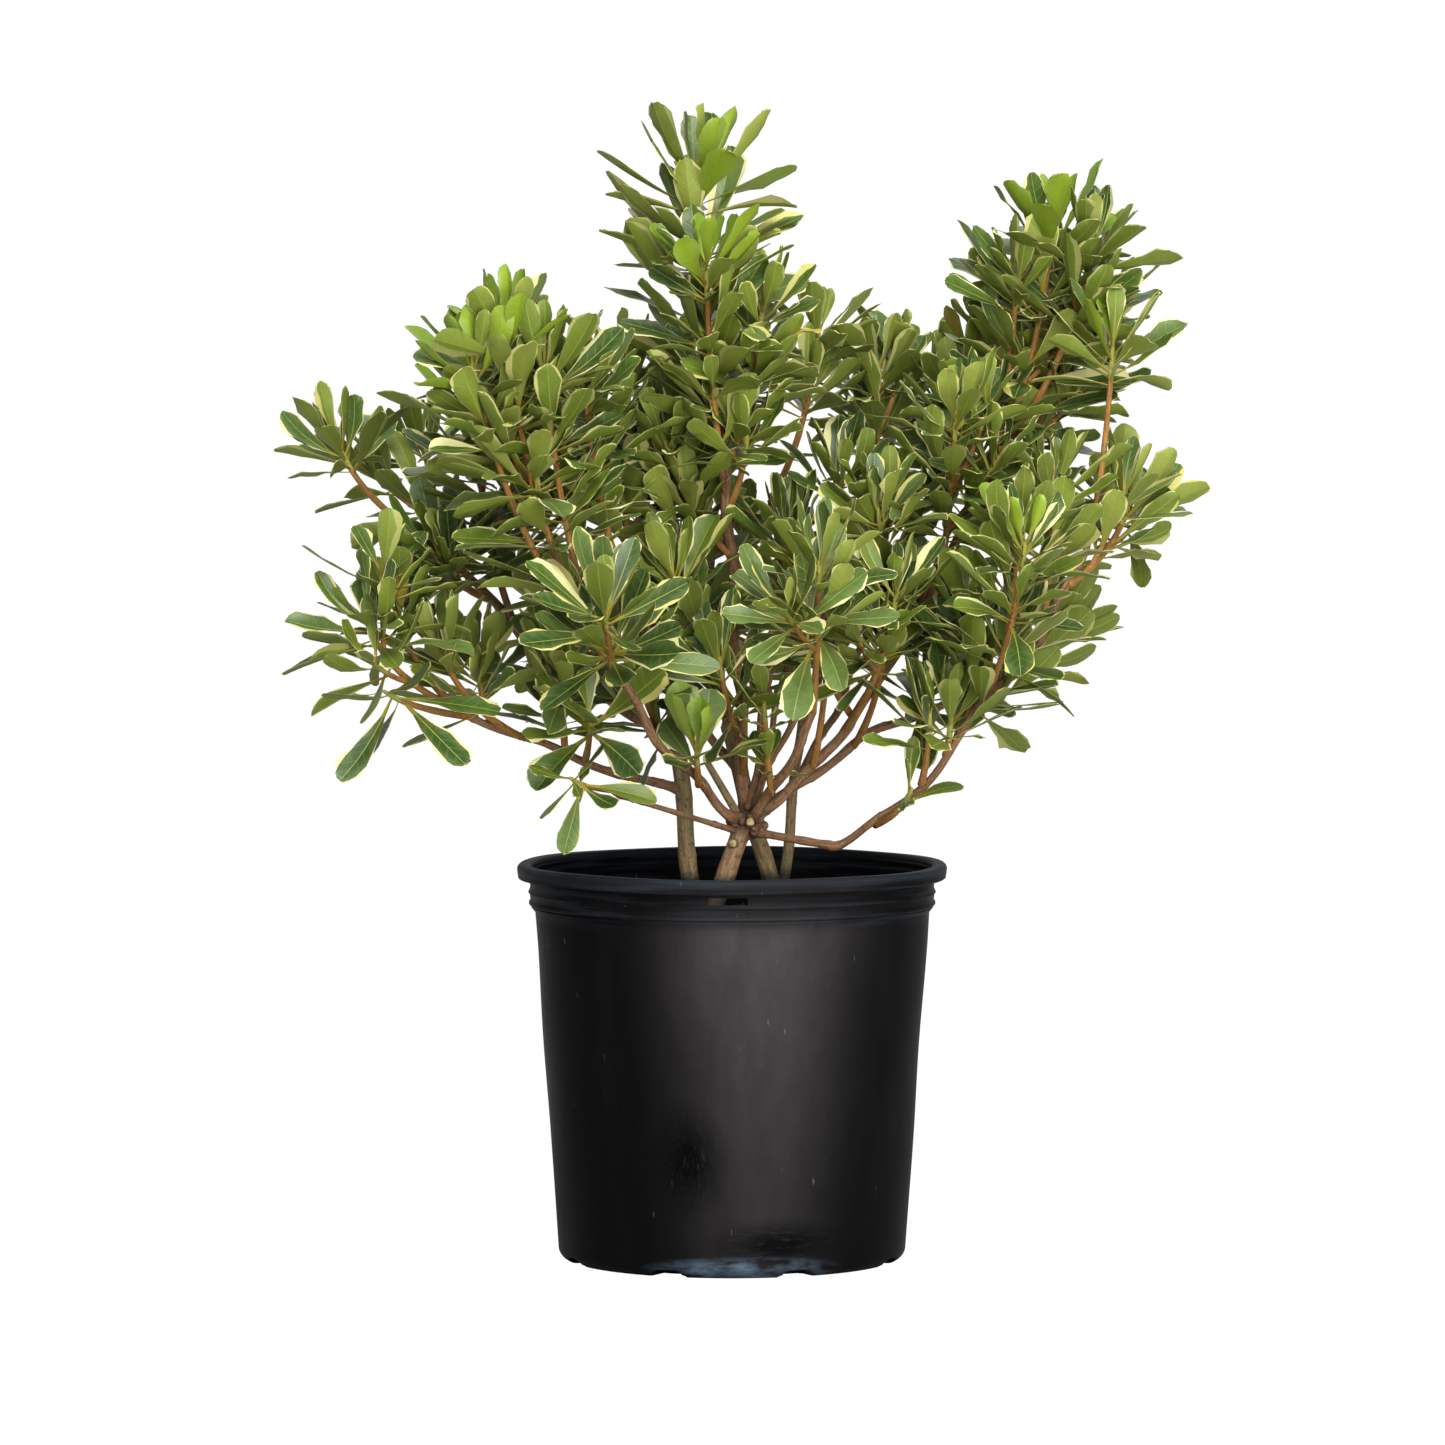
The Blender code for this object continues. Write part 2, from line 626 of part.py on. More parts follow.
class Twig:
    """A three-sided twig along a few straight steps, on which leaves root."""

    def __init__(self, line, thick, thin, rings):
        shares = [index / (rings - 1) for index in range(rings)]
        self.points = [line.point(share) for share in shares]
        self.radii = [thick + (thin - thick) * share for share in shares]

    def length(self):
        return sum((after - before).length for before, after in zip(self.points, self.points[1:]))

    def place(self, share):
        """The point at a share of the twig, and the twig's direction there."""
        step = min(int(share * (len(self.points) - 1)), len(self.points) - 2)
        before, after = self.points[step], self.points[step + 1]
        return before.lerp(after, share * (len(self.points) - 1) - step), (after - before).normalized()

    def mesh(self, swell=0.0):
        return tube_mesh("twig", self.points, [radius + swell for radius in self.radii], 3)


class Mass:
    """One mass of foliage: its leader, side twigs and leaves, before they are joined."""

    def __init__(self, name, row, limbs):
        self.name = name
        self.row = row
        self.random = random.Random(name)
        self.parent = limbs[row["parent"]]
        self.twigs = []
        self.leaves = []


    def grow_leader(self, taken):
        """The leader takes the first way round that meets nothing placed before.

        It sags by a share of its sideways reach, so that it leaves flat and turns up.
        """
        start = self.parent.line.point(self.row["at"])
        apex = Vector(self.row["apex"])
        reach = apex - start
        sag = LEADER_SAG * math.hypot(reach.x, reach.y)
        skip = (self.parent.radius(self.row["at"]) + LEADER_SKIP) / reach.length
        ways = [Vector((x, y, z)) for z in SIDESTEPS for x in SIDESTEPS for y in SIDESTEPS]
        for way in sorted(ways, key=lambda way: way.length):
            line = Bend(start, apex, sag, way)
            free = Bend(line.point(skip), apex, 0.0)
            free.control = line.control.lerp(apex, skip)
            mesh = Twig(free, TWIG_RADII[0], TWIG_RADII[0], LEADER_TESTS).mesh(SWELL)
            clear = not meets(taken, solid_of(mesh))
            bpy.data.meshes.remove(mesh)
            if clear:
                break
        else:
            print("no clear way for", self.name)
        self.twigs = [Twig(line, *TWIG_RADII, TWIG_RINGS)]

    def grow_sides(self, taken):
        """Side twigs leave the leader opposite each other, at seeded turns."""
        leader = self.twigs[0]
        turn = self.random.uniform(0, math.tau)
        for place in SIDE_TWIG_PLACES:
            length = self.random.uniform(*SIDE_TWIG_LENGTH)
            if leader.length() < 2 * SIDE_TWIG_LENGTH[0]:
                continue
            start, heading = leader.place(place)
            frame = leaf_place(start, heading, turn, SIDE_TWIG_PITCH)
            end = frame @ Vector((0.0, length, 0.0)) + Vector((0.0, 0.0, length * SIDE_TWIG_LIFT))
            twig = Twig(Bend(start, end, 0.0), TWIG_RADII[1], TWIG_RADII[1], SIDE_RINGS)
            mesh = twig.mesh(SWELL)
            if inside_crown([end]) and not meets(taken, solid_of(mesh)):
                self.twigs.append(twig)
            bpy.data.meshes.remove(mesh)
            turn += math.pi + self.random.uniform(-SIDE_TURN_PLAY, SIDE_TURN_PLAY)

    def twig_meshes(self, swell=0.0):
        return [twig.mesh(swell) for twig in self.twigs]

    def grow_leaves(self, taken):
        """Leaves in a golden-angle spiral, crowded towards each twig's apex."""
        own = tree_of([solid_of(mesh) for mesh in self.twig_meshes()])
        size = self.row.get("size", 1.0)
        for index, twig in enumerate(self.twigs):
            length = twig.length()
            leafy = min(length * LEAFY_SHARE, LEAFY_LENGTH)
            count = self.row["leaves"] if index == 0 else SIDE_TWIG_LEAVES
            turn = self.random.uniform(0, math.tau)
            for number in range(count):
                share = (number + FIRST_LEAF) / count
                place = 1 - leafy / length * share ** CROWDING
                pitch = TOP_PITCH + (LOW_PITCH - TOP_PITCH) * share ** PITCH_EASE
                pitch += self.random.uniform(-PITCH_PLAY, PITCH_PLAY)
                full = size * (TOP_SIZE + (1 - TOP_SIZE) * min(1.0, share / GROWN_SHARE))
                self.add_leaf(twig.place(place), turn, pitch, full, taken, own)
                turn += GOLDEN_ANGLE

    def add_leaf(self, seat, turn, pitch, size, taken, own):
        """Places a leaf, smaller where the full one would meet something."""
        frame = leaf_place(*seat, turn, pitch)
        for shrink in LEAF_SHRINKS:
            corners = [frame @ corner for corner in leaf_corners(size * shrink)]
            blade = [corners[0].lerp(corners[4], OWN_CROSSING), *corners[2:]]
            if not inside_crown(corners) or meets(taken, solid_of_hull(corners)):
                continue
            outer = solid_of_hull(blade)
            if meets(own, outer) or meets(tree_of([leaf[1] for leaf in self.leaves]), outer):
                continue
            wide = [frame @ corner for corner in leaf_corners(size * shrink, LEAF_SPARE)]
            self.leaves.append((corners, outer, solid_of_hull(wide)))
            return


def inside_crown(points):
    """True where the crown's true outline holds all the points."""
    return all(low < value < high for point in points
               for low, value, high in zip(CROWN_LOW, point, CROWN_HIGH))


def solid_of_hull(corners):
    mesh = hull(corners)
    solid = solid_of(mesh)
    bpy.data.meshes.remove(mesh)
    return solid


def join_mass(mass, swollen, parts):
    """One closed solid from the mass's twigs and leaves, cut clear of its limb."""
    loose = make_collection("loose_" + mass.name)
    leader, *sides = mass.twig_meshes()
    thing = make_object(mass.name, leader, parts)
    for mesh in sides + [hull(corners) for corners, _, _ in mass.leaves]:
        make_object("loose", mesh, loose)
    union = thing.modifiers.new("join", "BOOLEAN")
    union.operation = "UNION"
    union.operand_type = "COLLECTION"
    union.collection = loose
    union.solver = "MANIFOLD"
    mesh = evaluated_mesh(thing)
    thing.modifiers.clear()
    thing.data = mesh
    bpy.data.meshes.remove(leader)
    for piece in list(loose.objects):
        remove(piece)
    bpy.data.collections.remove(loose)
    solid = solid_of(thing.data)
    for cutter in swollen.values():
        if meets(tree_of([solid_of(cutter.data)]), solid):
            cut(thing, cutter)
    dropped = keep_largest(thing)
    finish(thing, "foliage")
    print(mass.name, len(mass.leaves), "leaves", len(thing.data.polygons), "faces", dropped, "dropped")


def others_of(name, solids):
    """The twigs of every mass but one."""
    return [solid for owner, group in solids.items() if owner != name for solid in group]


def build_masses(parts, limbs, swollen):
    limb_solids = [solid_of(cutter.data) for cutter in swollen.values()]
    masses = [Mass(name, row, limbs) for name, row in MASSES.items()]
    twig_solids = {}
    for grow in (Mass.grow_leader, Mass.grow_sides):
        for mass in masses:
            grow(mass, tree_of(limb_solids + others_of(mass.name, twig_solids)))
            twig_solids[mass.name] = [solid_of(mesh) for mesh in mass.twig_meshes(SWELL)]
    leaf_solids = []
    for mass in masses:
        mass.grow_leaves(tree_of(limb_solids + others_of(mass.name, twig_solids) + leaf_solids))
        leaf_solids += [wide for _, _, wide in mass.leaves]
        join_mass(mass, swollen, parts)


def main():
    for thing in list(bpy.data.objects):
        bpy.data.objects.remove(thing)
    parts = make_collection("potted_variegated_mock_orange")
    cutters = make_collection("cutters")
    build_pot(parts, cutters)
    build_soil(parts)
    limbs, swollen = build_limbs(parts, cutters)
    build_masses(parts, limbs, swollen)


main()
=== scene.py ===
import json
import math
import bpy
import numpy as np
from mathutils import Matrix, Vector

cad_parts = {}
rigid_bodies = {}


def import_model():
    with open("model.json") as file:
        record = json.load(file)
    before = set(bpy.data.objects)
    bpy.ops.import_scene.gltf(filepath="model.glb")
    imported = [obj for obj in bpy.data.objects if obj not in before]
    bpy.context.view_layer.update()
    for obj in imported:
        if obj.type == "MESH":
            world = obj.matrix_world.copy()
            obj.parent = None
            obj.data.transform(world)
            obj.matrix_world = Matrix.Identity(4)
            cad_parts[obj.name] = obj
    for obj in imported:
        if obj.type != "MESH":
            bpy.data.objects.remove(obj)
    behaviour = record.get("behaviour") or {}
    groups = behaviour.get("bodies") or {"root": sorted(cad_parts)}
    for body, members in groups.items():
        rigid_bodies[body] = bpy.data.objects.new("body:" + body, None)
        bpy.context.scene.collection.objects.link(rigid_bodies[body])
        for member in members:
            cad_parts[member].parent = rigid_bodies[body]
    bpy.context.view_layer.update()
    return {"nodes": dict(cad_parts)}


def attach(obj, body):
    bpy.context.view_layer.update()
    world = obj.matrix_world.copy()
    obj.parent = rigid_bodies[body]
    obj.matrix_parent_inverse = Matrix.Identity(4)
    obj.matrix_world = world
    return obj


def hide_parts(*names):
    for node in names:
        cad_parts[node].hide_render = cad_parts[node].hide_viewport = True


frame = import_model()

print("frame loaded:", len(frame["nodes"]), "nodes")

# camera: level with the crown's foot, a long lens a few metres away
shot = {"aim": (-0.0073, 0.0, 0.413), "distance": 6.9, "tiltDegrees": 3.8, "lens": 224.2, "sensor": 36.0,
        "farthest": 200.0}


def stand(name, data):
    # an object that holds the data, put into the scene
    holder = bpy.data.objects.new(name, data)
    bpy.context.scene.collection.objects.link(holder)
    return holder


def addCamera():
    # stands back from its aim, raised by the sine of the tilt and turned down by the tilt
    tilt = math.radians(shot["tiltDegrees"])
    lens = bpy.data.cameras.new("camera")
    lens.lens, lens.sensor_width, lens.clip_end = shot["lens"], shot["sensor"], shot["farthest"]
    camera = stand("camera", lens)
    camera.location = Vector(shot["aim"]) + Vector((0.0, -math.cos(tilt), math.sin(tilt))) * shot["distance"]
    camera.rotation_euler = (math.radians(90.0) - tilt, 0.0, 0.0)
    bpy.context.scene.camera = camera


# light: a room that is white round the horizon and dimmer overhead, a broad soft key light from the front, and
# lamps that lay a sheen on the pot
studio = {
    "backdrop": 1.04, "horizonStrength": 0.38, "overheadStrength": 0.46, "horizonEnd": 0.09, "overheadStart": 0.28,
    "aim": (0.0, 0.0, 0.45), "keyFrom": (0.08, -0.66, 0.8), "keyDistance": 5.0, "keyStrength": 3.4, "keySpread": 30,
    "floorColour": (0.95, 0.95, 0.945), "floorBounce": (0.42, 0.42, 0.41), "floorRadius": 60.0, "floorSides": 64,
    "floorHeight": -0.0005,
    "lamps": {
        "sheenLamp": {"place": (0.95, -2.7, 0.95), "size": (1.7, 2.0), "watts": 95.0},
        "backLamp": {"place": (0.8, 3.8, 3.0), "size": (2.4, 2.0), "watts": 20.0},
    },
}


def aimLight(name, light, place):
    # the light stands at the place and looks at the plant
    holder = stand(name, light)
    holder.location = place
    toPlant = Vector(studio["aim"]) - holder.location
    holder.rotation_euler = toPlant.to_track_quat("-Z", "Y").to_euler()


def addStudio():
    # the room's strength goes by the height of the direction looked in. The camera sees a white backdrop instead
    world = bpy.data.worlds.new("room")
    room = Nodes(world, "Background")
    height = room.height(room.add("TexCoord").outputs["Generated"])
    strength = room.grey(height, studio["horizonStrength"], studio["overheadStrength"], studio["horizonEnd"],
                         studio["overheadStart"])
    seen = room.add("LightPath").outputs["Is Camera Ray"]
    room.give("Strength", room.grey(seen, strength, studio["backdrop"]))
    room.give("Color", (1.0, 1.0, 1.0))
    bpy.context.scene.world = world
    key = bpy.data.lights.new("keyLight", "SUN")
    key.energy, key.angle = studio["keyStrength"], math.radians(studio["keySpread"])
    aimLight("keyLight", key, Vector(studio["keyFrom"]) * studio["keyDistance"] + Vector(studio["aim"]))
    for name, lamp in studio["lamps"].items():
        light = bpy.data.lights.new(name, "AREA")
        light.shape = "RECTANGLE"
        light.size, light.size_y = lamp["size"]
        light.energy = lamp["watts"]
        aimLight(name, light, lamp["place"])
    floorMesh = bpy.data.meshes.new("floor")
    turn = circle(studio["floorSides"])
    rim = np.stack([np.cos(turn), np.sin(turn), 0 * turn], axis=1) * studio["floorRadius"]
    floorMesh.from_pydata(rim.tolist(), [], [list(range(len(turn)))])
    floor = stand("floor", floorMesh)
    floor.location = (0.0, 0.0, studio["floorHeight"])
    # flat white to the eye, but it throws less light up at the leaves
    paint = plainFinish("floorPaint", studio["floorColour"], 0.9, 0.0)
    seen = paint.add("LightPath").outputs["Is Camera Ray"]
    paint.give("Base Color", paint.mix(seen, studio["floorBounce"], (0.0, 0.0, 0.0)))
    paint.give("Emission Color", (1.0, 1.0, 1.0))
    paint.give("Emission Strength", paint.times(seen, studio["backdrop"]))
    floorMesh.materials.append(paint.owner)


def hue(red, green, blue):
    # a colour as a screen shows it, 0 to 255, turned to the light it stands for
    shown = np.array([red, green, blue]) / 255.0
    light = np.where(shown <= 0.04045, shown / 12.92, ((shown + 0.055) / 1.055) ** 2.4)
    return tuple(float(part) for part in light)


class Nodes:
    # short calls for building a finish, or the room, out of shader nodes
    def __init__(self, owner, shader):
        owner.use_nodes = True
        self.owner, self.tree = owner, owner.node_tree
        self.shader = self.tree.nodes[shader]

    def feed(self, socket, value):
        # another node's output is linked to the socket; a number, a vector or a colour is set on it
        if isinstance(value, bpy.types.NodeSocket):
            self.tree.links.new(value, socket)
        else:
            socket.default_value = (*value, 1.0) if socket.type == "RGBA" else value

    def give(self, name, value):
        # feeds the shader itself
        self.feed(self.shader.inputs[name], value)

    def add(self, kind, **feeds):
        # a new node with its sockets fed
        node = self.tree.nodes.new("ShaderNode" + kind)
        for name, value in feeds.items():
            self.feed(node.inputs[name.replace("_", " ")], value)
        return node

    def place(self, stretch=(1.0, 1.0, 1.0), source="Object"):
        # the piece's own coordinates, stretched
        return self.add("Mapping", Vector=self.add("TexCoord").outputs[source], Scale=stretch).outputs["Vector"]

    def height(self, vector):
        return self.add("SeparateXYZ", Vector=vector).outputs["Z"]

    def noise(self, vector, scale, detail=4.0, rough=0.55):
        return self.add("TexNoise", Vector=vector, Scale=scale, Detail=detail, Roughness=rough).outputs["Fac"]

    def ramp(self, value, places, colours):
        # three colours, each at its place along the value
        node = self.add("ValToRGB", Fac=value)
        slots = node.color_ramp.elements
        slots.new(0.5)
        for slot, where, colour in zip(slots, places, colours):
            slot.position, slot.color = where, (*colour, 1.0)
        return node.outputs["Color"]

    def grey(self, value, low, high, start=0.0, end=1.0):
        # runs from low to high while the value runs from start to end
        node = self.add("MapRange", Value=value, From_Min=start, From_Max=end, To_Min=low, To_Max=high)
        return node.outputs["Result"]

    def mix(self, share, first, second):
        # first colour times the rest of the share, plus second colour times the share
        node = self.add("Mix")
        node.data_type = "RGBA"
        for number, value in ((0, share), (6, first), (7, second)):
            self.feed(node.inputs[number], value)
        return node.outputs[2]

    def times(self, first, second, operation="MULTIPLY", kind="Math"):
        # the product of two values, or what another operation makes of them
        node = self.add(kind)
        node.operation = operation
        for socket, value in zip(node.inputs, (first, second)):
            self.feed(socket, value)
        return node.outputs["Value"]

    def distance(self, vector, point):
        return self.times(vector, point, "DISTANCE", "VectorMath")

    def bump(self, height, strength, distance):
        self.give("Normal", self.add("Bump", Height=height, Strength=strength, Distance=distance).outputs["Normal"])


def plainFinish(name, colour, roughness, specular=0.5):
    # the nodes of a new finish of one colour
    nodes = Nodes(bpy.data.materials.new(name), "Principled BSDF")
    for socket, value in (("Base Color", colour), ("Roughness", roughness), ("Specular IOR Level", specular)):
        nodes.give(socket, value)
    return nodes


# meshes from arrays
goldenTurn = math.radians(137.5)


def circle(count):
    # turns evenly round a circle
    return np.linspace(0.0, 2.0 * math.pi, count, endpoint=False)


def anyTurn(dice, shape=None):
    # a turn drawn from the whole circle
    return dice.uniform(0, 6.28, shape)


def turnPair(first, second, angle):
    # first turned towards second, and second away from first, by the angle
    return first * np.cos(angle) + second * np.sin(angle), second * np.cos(angle) - first * np.sin(angle)


def unit(vector):
    # the same direction with a length of one
    return vector / np.linalg.norm(vector)


def gridQuads(rows, columns):
    # quads of a grid of points, row after row, the last column joined to the first
    row, column = np.meshgrid(np.arange(rows - 1), np.arange(columns), indexing="ij")
    after = (column + 1) % columns
    return np.stack([row * columns + column, row * columns + after, (row + 1) * columns + after,
                     (row + 1) * columns + column], axis=-1).reshape(-1, 4)


def gridCorners(rows, columns, alongs):
    # texture place of each quad's corners: share of the way round, and distance along
    row, column = np.meshgrid(np.arange(rows - 1), np.arange(columns), indexing="ij")
    left, right, low, high = column / columns, (column + 1) / columns, alongs[row], alongs[row + 1]
    corners = [np.stack(pair, -1) for pair in ((left, low), (right, low), (right, high), (left, high))]
    return np.stack(corners, axis=-2).reshape(-1, 4, 2)


def poleCaps(rings, sides):
    # fans from the first and the last ring of a grid to the two poles that follow it
    index, pole = np.arange(sides), np.full(sides, rings * sides)
    after, last = (index + 1) % sides, (rings - 1) * sides
    return np.concatenate([np.stack([index, after, pole], 1), np.stack([last + after, last + index, pole + 1], 1)])


def joinPiece(name, parts, finishes, sharpDegrees=None):
    # parts: points, quads, caps (rows of equal length), finish number of each face, texture places
    rows, first = [], 0
    for part in parts:
        for key in ("quads", "caps"):
            if key in part:
                faces = part[key]
                texture = part.get(key + "Places", np.zeros((*faces.shape, 2))).reshape(-1, 2)
                rows.append((np.full(len(faces), faces.shape[1]), (faces + first).ravel(),
                             np.broadcast_to(part.get(key + "Finish", 0), len(faces)), texture))
        first += len(part["points"])
    points = np.concatenate([part["points"] for part in parts])
    sizes, corners, finishOf, places = (np.concatenate(column) for column in zip(*rows))
    mesh = bpy.data.meshes.new(name)
    mesh.vertices.add(len(points))
    mesh.vertices.foreach_set("co", points.astype(np.float32).ravel())
    mesh.loops.add(len(corners))
    mesh.loops.foreach_set("vertex_index", corners.astype(np.int32))
    mesh.polygons.add(len(sizes))
    mesh.polygons.foreach_set("loop_start", (np.cumsum(sizes) - sizes).astype(np.int32))
    mesh.polygons.foreach_set("material_index", finishOf.astype(np.int32))
    mesh.update(calc_edges=True)
    mesh.uv_layers.new(name="places").uv.foreach_set("vector", places.astype(np.float32).ravel())
    mesh.shade_smooth()
    if sharpDegrees:
        mesh.set_sharp_from_angle(angle=math.radians(sharpDegrees))
    for finish in finishes:
        mesh.materials.append(finish)
    mesh.validate()
    print(name + ":", len(points), "points,", int(np.sum(sizes - 2)), "triangles")
    return stand(name, mesh)


def settle(piece, slot, *nodes):
    # every piece here rides on the one body
    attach(piece, "root")
    if nodes:
        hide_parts(*nodes)


def metres(millimetres):
    return tuple(round(part / 1000, 6) for part in millimetres)


def stem(foot, tip, sag, radii):
    # all in millimetres
    return {"foot": metres(foot), "tip": metres(tip), "sag": sag / 1000, "radii": metres(radii)}


def bough(parent, at, tip, sag, radii, **more):
    # leaves its parent at a share of the way along. Tip, sag and radii in millimetres
    return {"parent": parent, "at": at, "tip": metres(tip), "sag": sag / 1000, "radii": metres(radii), **more}


# limbs: the same lines and radii as the frame's solids, in millimetres
limbs = {
    "stem_left": stem((-29, 5), (-48, 20, 464), 0, (7, 5.5)),
    "stem_knot": stem((-21, -30), (14, -12, 345), 0, (6.8, 7.2)),
    "stem_centre": stem((39, 15), (-4, 45, 408), 4, (7.2, 5.2)),
    "stem_right": stem((37, 40), (56, 60, 430), 0, (4.3, 3.4)),
    "bough_centre": bough("stem_knot", 0.93, (-6, -10, 622), 0, (5.2, 3.6)),
    "bough_diagonal": bough("stem_knot", 0.93, (206, 20, 629), 45, (4, 3.2)),
    "bough_left_front": bough("stem_knot", 0.9, (-101, -130, 481), 15, (3.7, 3.1)),
    "bough_low_right": bough("stem_knot", 0.86, (191, -90, 438), 52, (3.1, 2.8), straightTo=0.36),
    "bough_right": bough("stem_knot", 0.88, (197, 90, 432), -15, (3.4, 3)),
    "bough_front": bough("stem_knot", 0.9, (61, -90, 427), 10, (4, 3.2)),
    "bough_low_left": bough("stem_knot", 0.84, (-91, -90, 367), 6, (2.2, 1.9), straightTo=0.93),
    "bough_right_outer": bough("bough_low_right", 0.97, (269, -40, 545), 12, (3, 2.6)),
    "bough_left_low": bough("stem_left", 0.52, (-224, -60, 435), 6, (3.4, 2.6)),
    "bough_left_back": bough("stem_left", 0.72, (-225, 50, 547), 20, (4.2, 3)),
    "bough_upper_left": bough("stem_left", 0.97, (-91, -20, 546), 0, (4, 3)),
    "bough_back_left": bough("stem_centre", 0.82, (-110, 165, 535), 15, (3.6, 2.8)),
    "bough_back_mid": bough("stem_centre", 0.98, (-20, 190, 585), 15, (3.8, 2.8)),
    "bough_back_centre": bough("stem_right", 0.97, (30, 90, 580), 4, (3.2, 2.8)),
    "bough_back_upper": bough("stem_right", 0.9, (111, 120, 579), 10, (3, 2.6)),
    "bough_back_right": bough("stem_right", 0.62, (135, 200, 545), 15, (3, 2.6)),
    "spare_steep": bough("stem_knot", 0.93, (36, -30, 500), 4, (3, 2.2), spare=True),
    "spare_leaning": bough("stem_knot", 0.9, (74, -50, 505), 8, (2.8, 2.2), spare=True),
    "spare_behind": bough("stem_knot", 0.93, (58, 20, 520), 6, (2.6, 2), spare=True),
}
relief = {
    "soilTop": 0.26, "buried": 0.012, "stemGrid": (260, 28), "boughGrid": (150, 20),
    "flare": 0.35, "flareHeight": 0.018, "collar": 0.45, "collarLength": 0.007,
    "knotPlace": 0.92, "knotSwell": 0.003, "knotSpread": 0.075,
    "humps": 22, "humpHeight": 0.0046, "humpSize": 0.0032,
    "elbow": 0.3, "elbowLength": 0.006,
    "whorlGap": 0.04, "whorlScars": 7, "whorlLength": 0.012, "whorlSwell": 0.1,
    "scarHeight": 0.0006, "scarLength": 0.0013, "scarTurn": 0.4,
    "ringGap": 0.0065, "ringHeight": 0.00016, "ringLength": 0.0009,
    "lumps": 0.022, "wander": 0.0026,
}


def bendPoint(line, share):
    # quadratic bend: start, control and end weighed by the square of the share left, twice the product, and its square
    start, control, end = line
    share = np.asarray(share)[..., None]
    return (1 - share) ** 2 * start + 2 * share * (1 - share) * control + share ** 2 * end


def bendLine(start, end, sag):
    # the control point lies below the middle by twice the sag, so that the bend passes below it by the sag
    start, end = np.array(start, float), np.array(end, float)
    return start, (start + end) / 2 - np.array([0.0, 0.0, 2 * sag]), end


def limbLines():
    # stems start below the mix's top, boughs at their place on their parent
    lines = {}
    for name, row in limbs.items():
        if "foot" in row:
            start = np.array([*row["foot"], relief["soilTop"]])
            start = start - (np.array(row["tip"]) - start) * relief["buried"] / (row["tip"][2] - start[2])
        else:
            start = bendPoint(lines[row["parent"]], row["at"])
        lines[name] = bendLine(start, row["tip"], row["sag"])
    return lines


def tubeFrames(middle):
    # directions across and up at each point of a middle line, turned as little as possible
    ahead = np.gradient(middle, axis=0)
    ahead /= np.linalg.norm(ahead, axis=1, keepdims=True)
    axis = np.eye(3)[int(np.argmin(np.abs(ahead.mean(axis=0))))]
    across = np.cross(ahead, axis)
    across /= np.linalg.norm(across, axis=1, keepdims=True)
    return ahead, across, np.cross(across, ahead)


def tubePart(middle, radius, finish=0):
    # a limb's skin: middle line plus radius times the cosine of the turn across and its sine up, closed by two poles
    rings, sides = radius.shape
    ahead, across, up = tubeFrames(middle)
    turn = circle(sides)[:, None]
    skin = middle[:, None] + radius[..., None] * (np.cos(turn) * across[:, None] + np.sin(turn) * up[:, None])
    alongs = np.concatenate([[0.0], np.cumsum(np.linalg.norm(np.diff(middle, axis=0), axis=1))])
    points = np.concatenate([skin.reshape(-1, 3), middle[:1] - ahead[:1] * radius[0, 0] * 0.3,
                             middle[-1:] + ahead[-1:] * radius[-1, 0] * 0.5])
    finish = np.broadcast_to(finish, rings)
    return {"points": points, "quads": gridQuads(rings, sides)[:, ::-1], "quadsFinish": np.repeat(finish[:-1], sides),
            "quadsPlaces": gridCorners(rings, sides, alongs)[:, ::-1], "caps": poleCaps(rings, sides),
            "capsFinish": np.repeat(finish[[0, -1]], sides)}


def barkRadius(length, shares, radii, sides, dice, rough=1.0):
    # smooth taper, plus a swelling with a spiral of leaf scars wherever a whorl stood, fine growth rings and lumps
    turn = circle(sides)
    along = (shares * length)[:, None]
    radius = (radii[0] + (radii[1] - radii[0]) * shares)[:, None] * np.ones(sides)
    whorls = np.arange(0.6, max(0.7, length / relief["whorlGap"])) * relief["whorlGap"]
    whorls = whorls + dice.uniform(-0.006, 0.006, len(whorls))
    swell = np.exp(-((along - whorls) / (0.5 * relief["whorlLength"])) ** 2).sum(axis=1)
    radius *= 1 + relief["whorlSwell"] * rough * swell[:, None]
    scars = (whorls[:, None] + np.linspace(-0.5, 0.5, relief["whorlScars"]) * relief["whorlLength"]).ravel()
    scarTurn = np.cumsum(np.full(len(scars), goldenTurn)) + anyTurn(dice)
    away = np.angle(np.exp(1j * (turn - scarTurn[:, None])))
    bump = np.exp(-(away / relief["scarTurn"]) ** 2)
    reach = np.exp(-((along - scars) / relief["scarLength"]) ** 2)
    heights = relief["scarHeight"] * dice.uniform(0.2, 1.0, len(scars)) * rough
    radius += (reach * heights) @ bump
    rings = np.arange(0.7, length / relief["ringGap"]) * relief["ringGap"]
    rings = rings + dice.uniform(-0.002, 0.002, len(rings))
    ridge = np.exp(-((along - rings) / relief["ringLength"]) ** 2)
    radius += relief["ringHeight"] * rough * (ridge @ dice.uniform(0.2, 1.0, len(rings)))[:, None]
    waves = np.sin(2 * turn + along * 55 + anyTurn(dice))
    waves = waves + 0.6 * np.sin(3 * turn - along * 131 + anyTurn(dice))
    waves = waves + 0.5 * np.sin(along * 210 + anyTurn(dice))
    return radius * (1 + relief["lumps"] * rough * waves)


def wander(middle, along, dice, amount):
    # a slight zigzag that fades out at both ends
    length = along[-1]
    window = np.clip(np.sin(math.pi * along / length), 0.0, 1.0)[:, None] ** 0.7
    push = np.stack([np.sin(along * frequency + anyTurn(dice)) for frequency in (63.0, 71.0, 57.0)], 1)
    return middle + push * window * amount


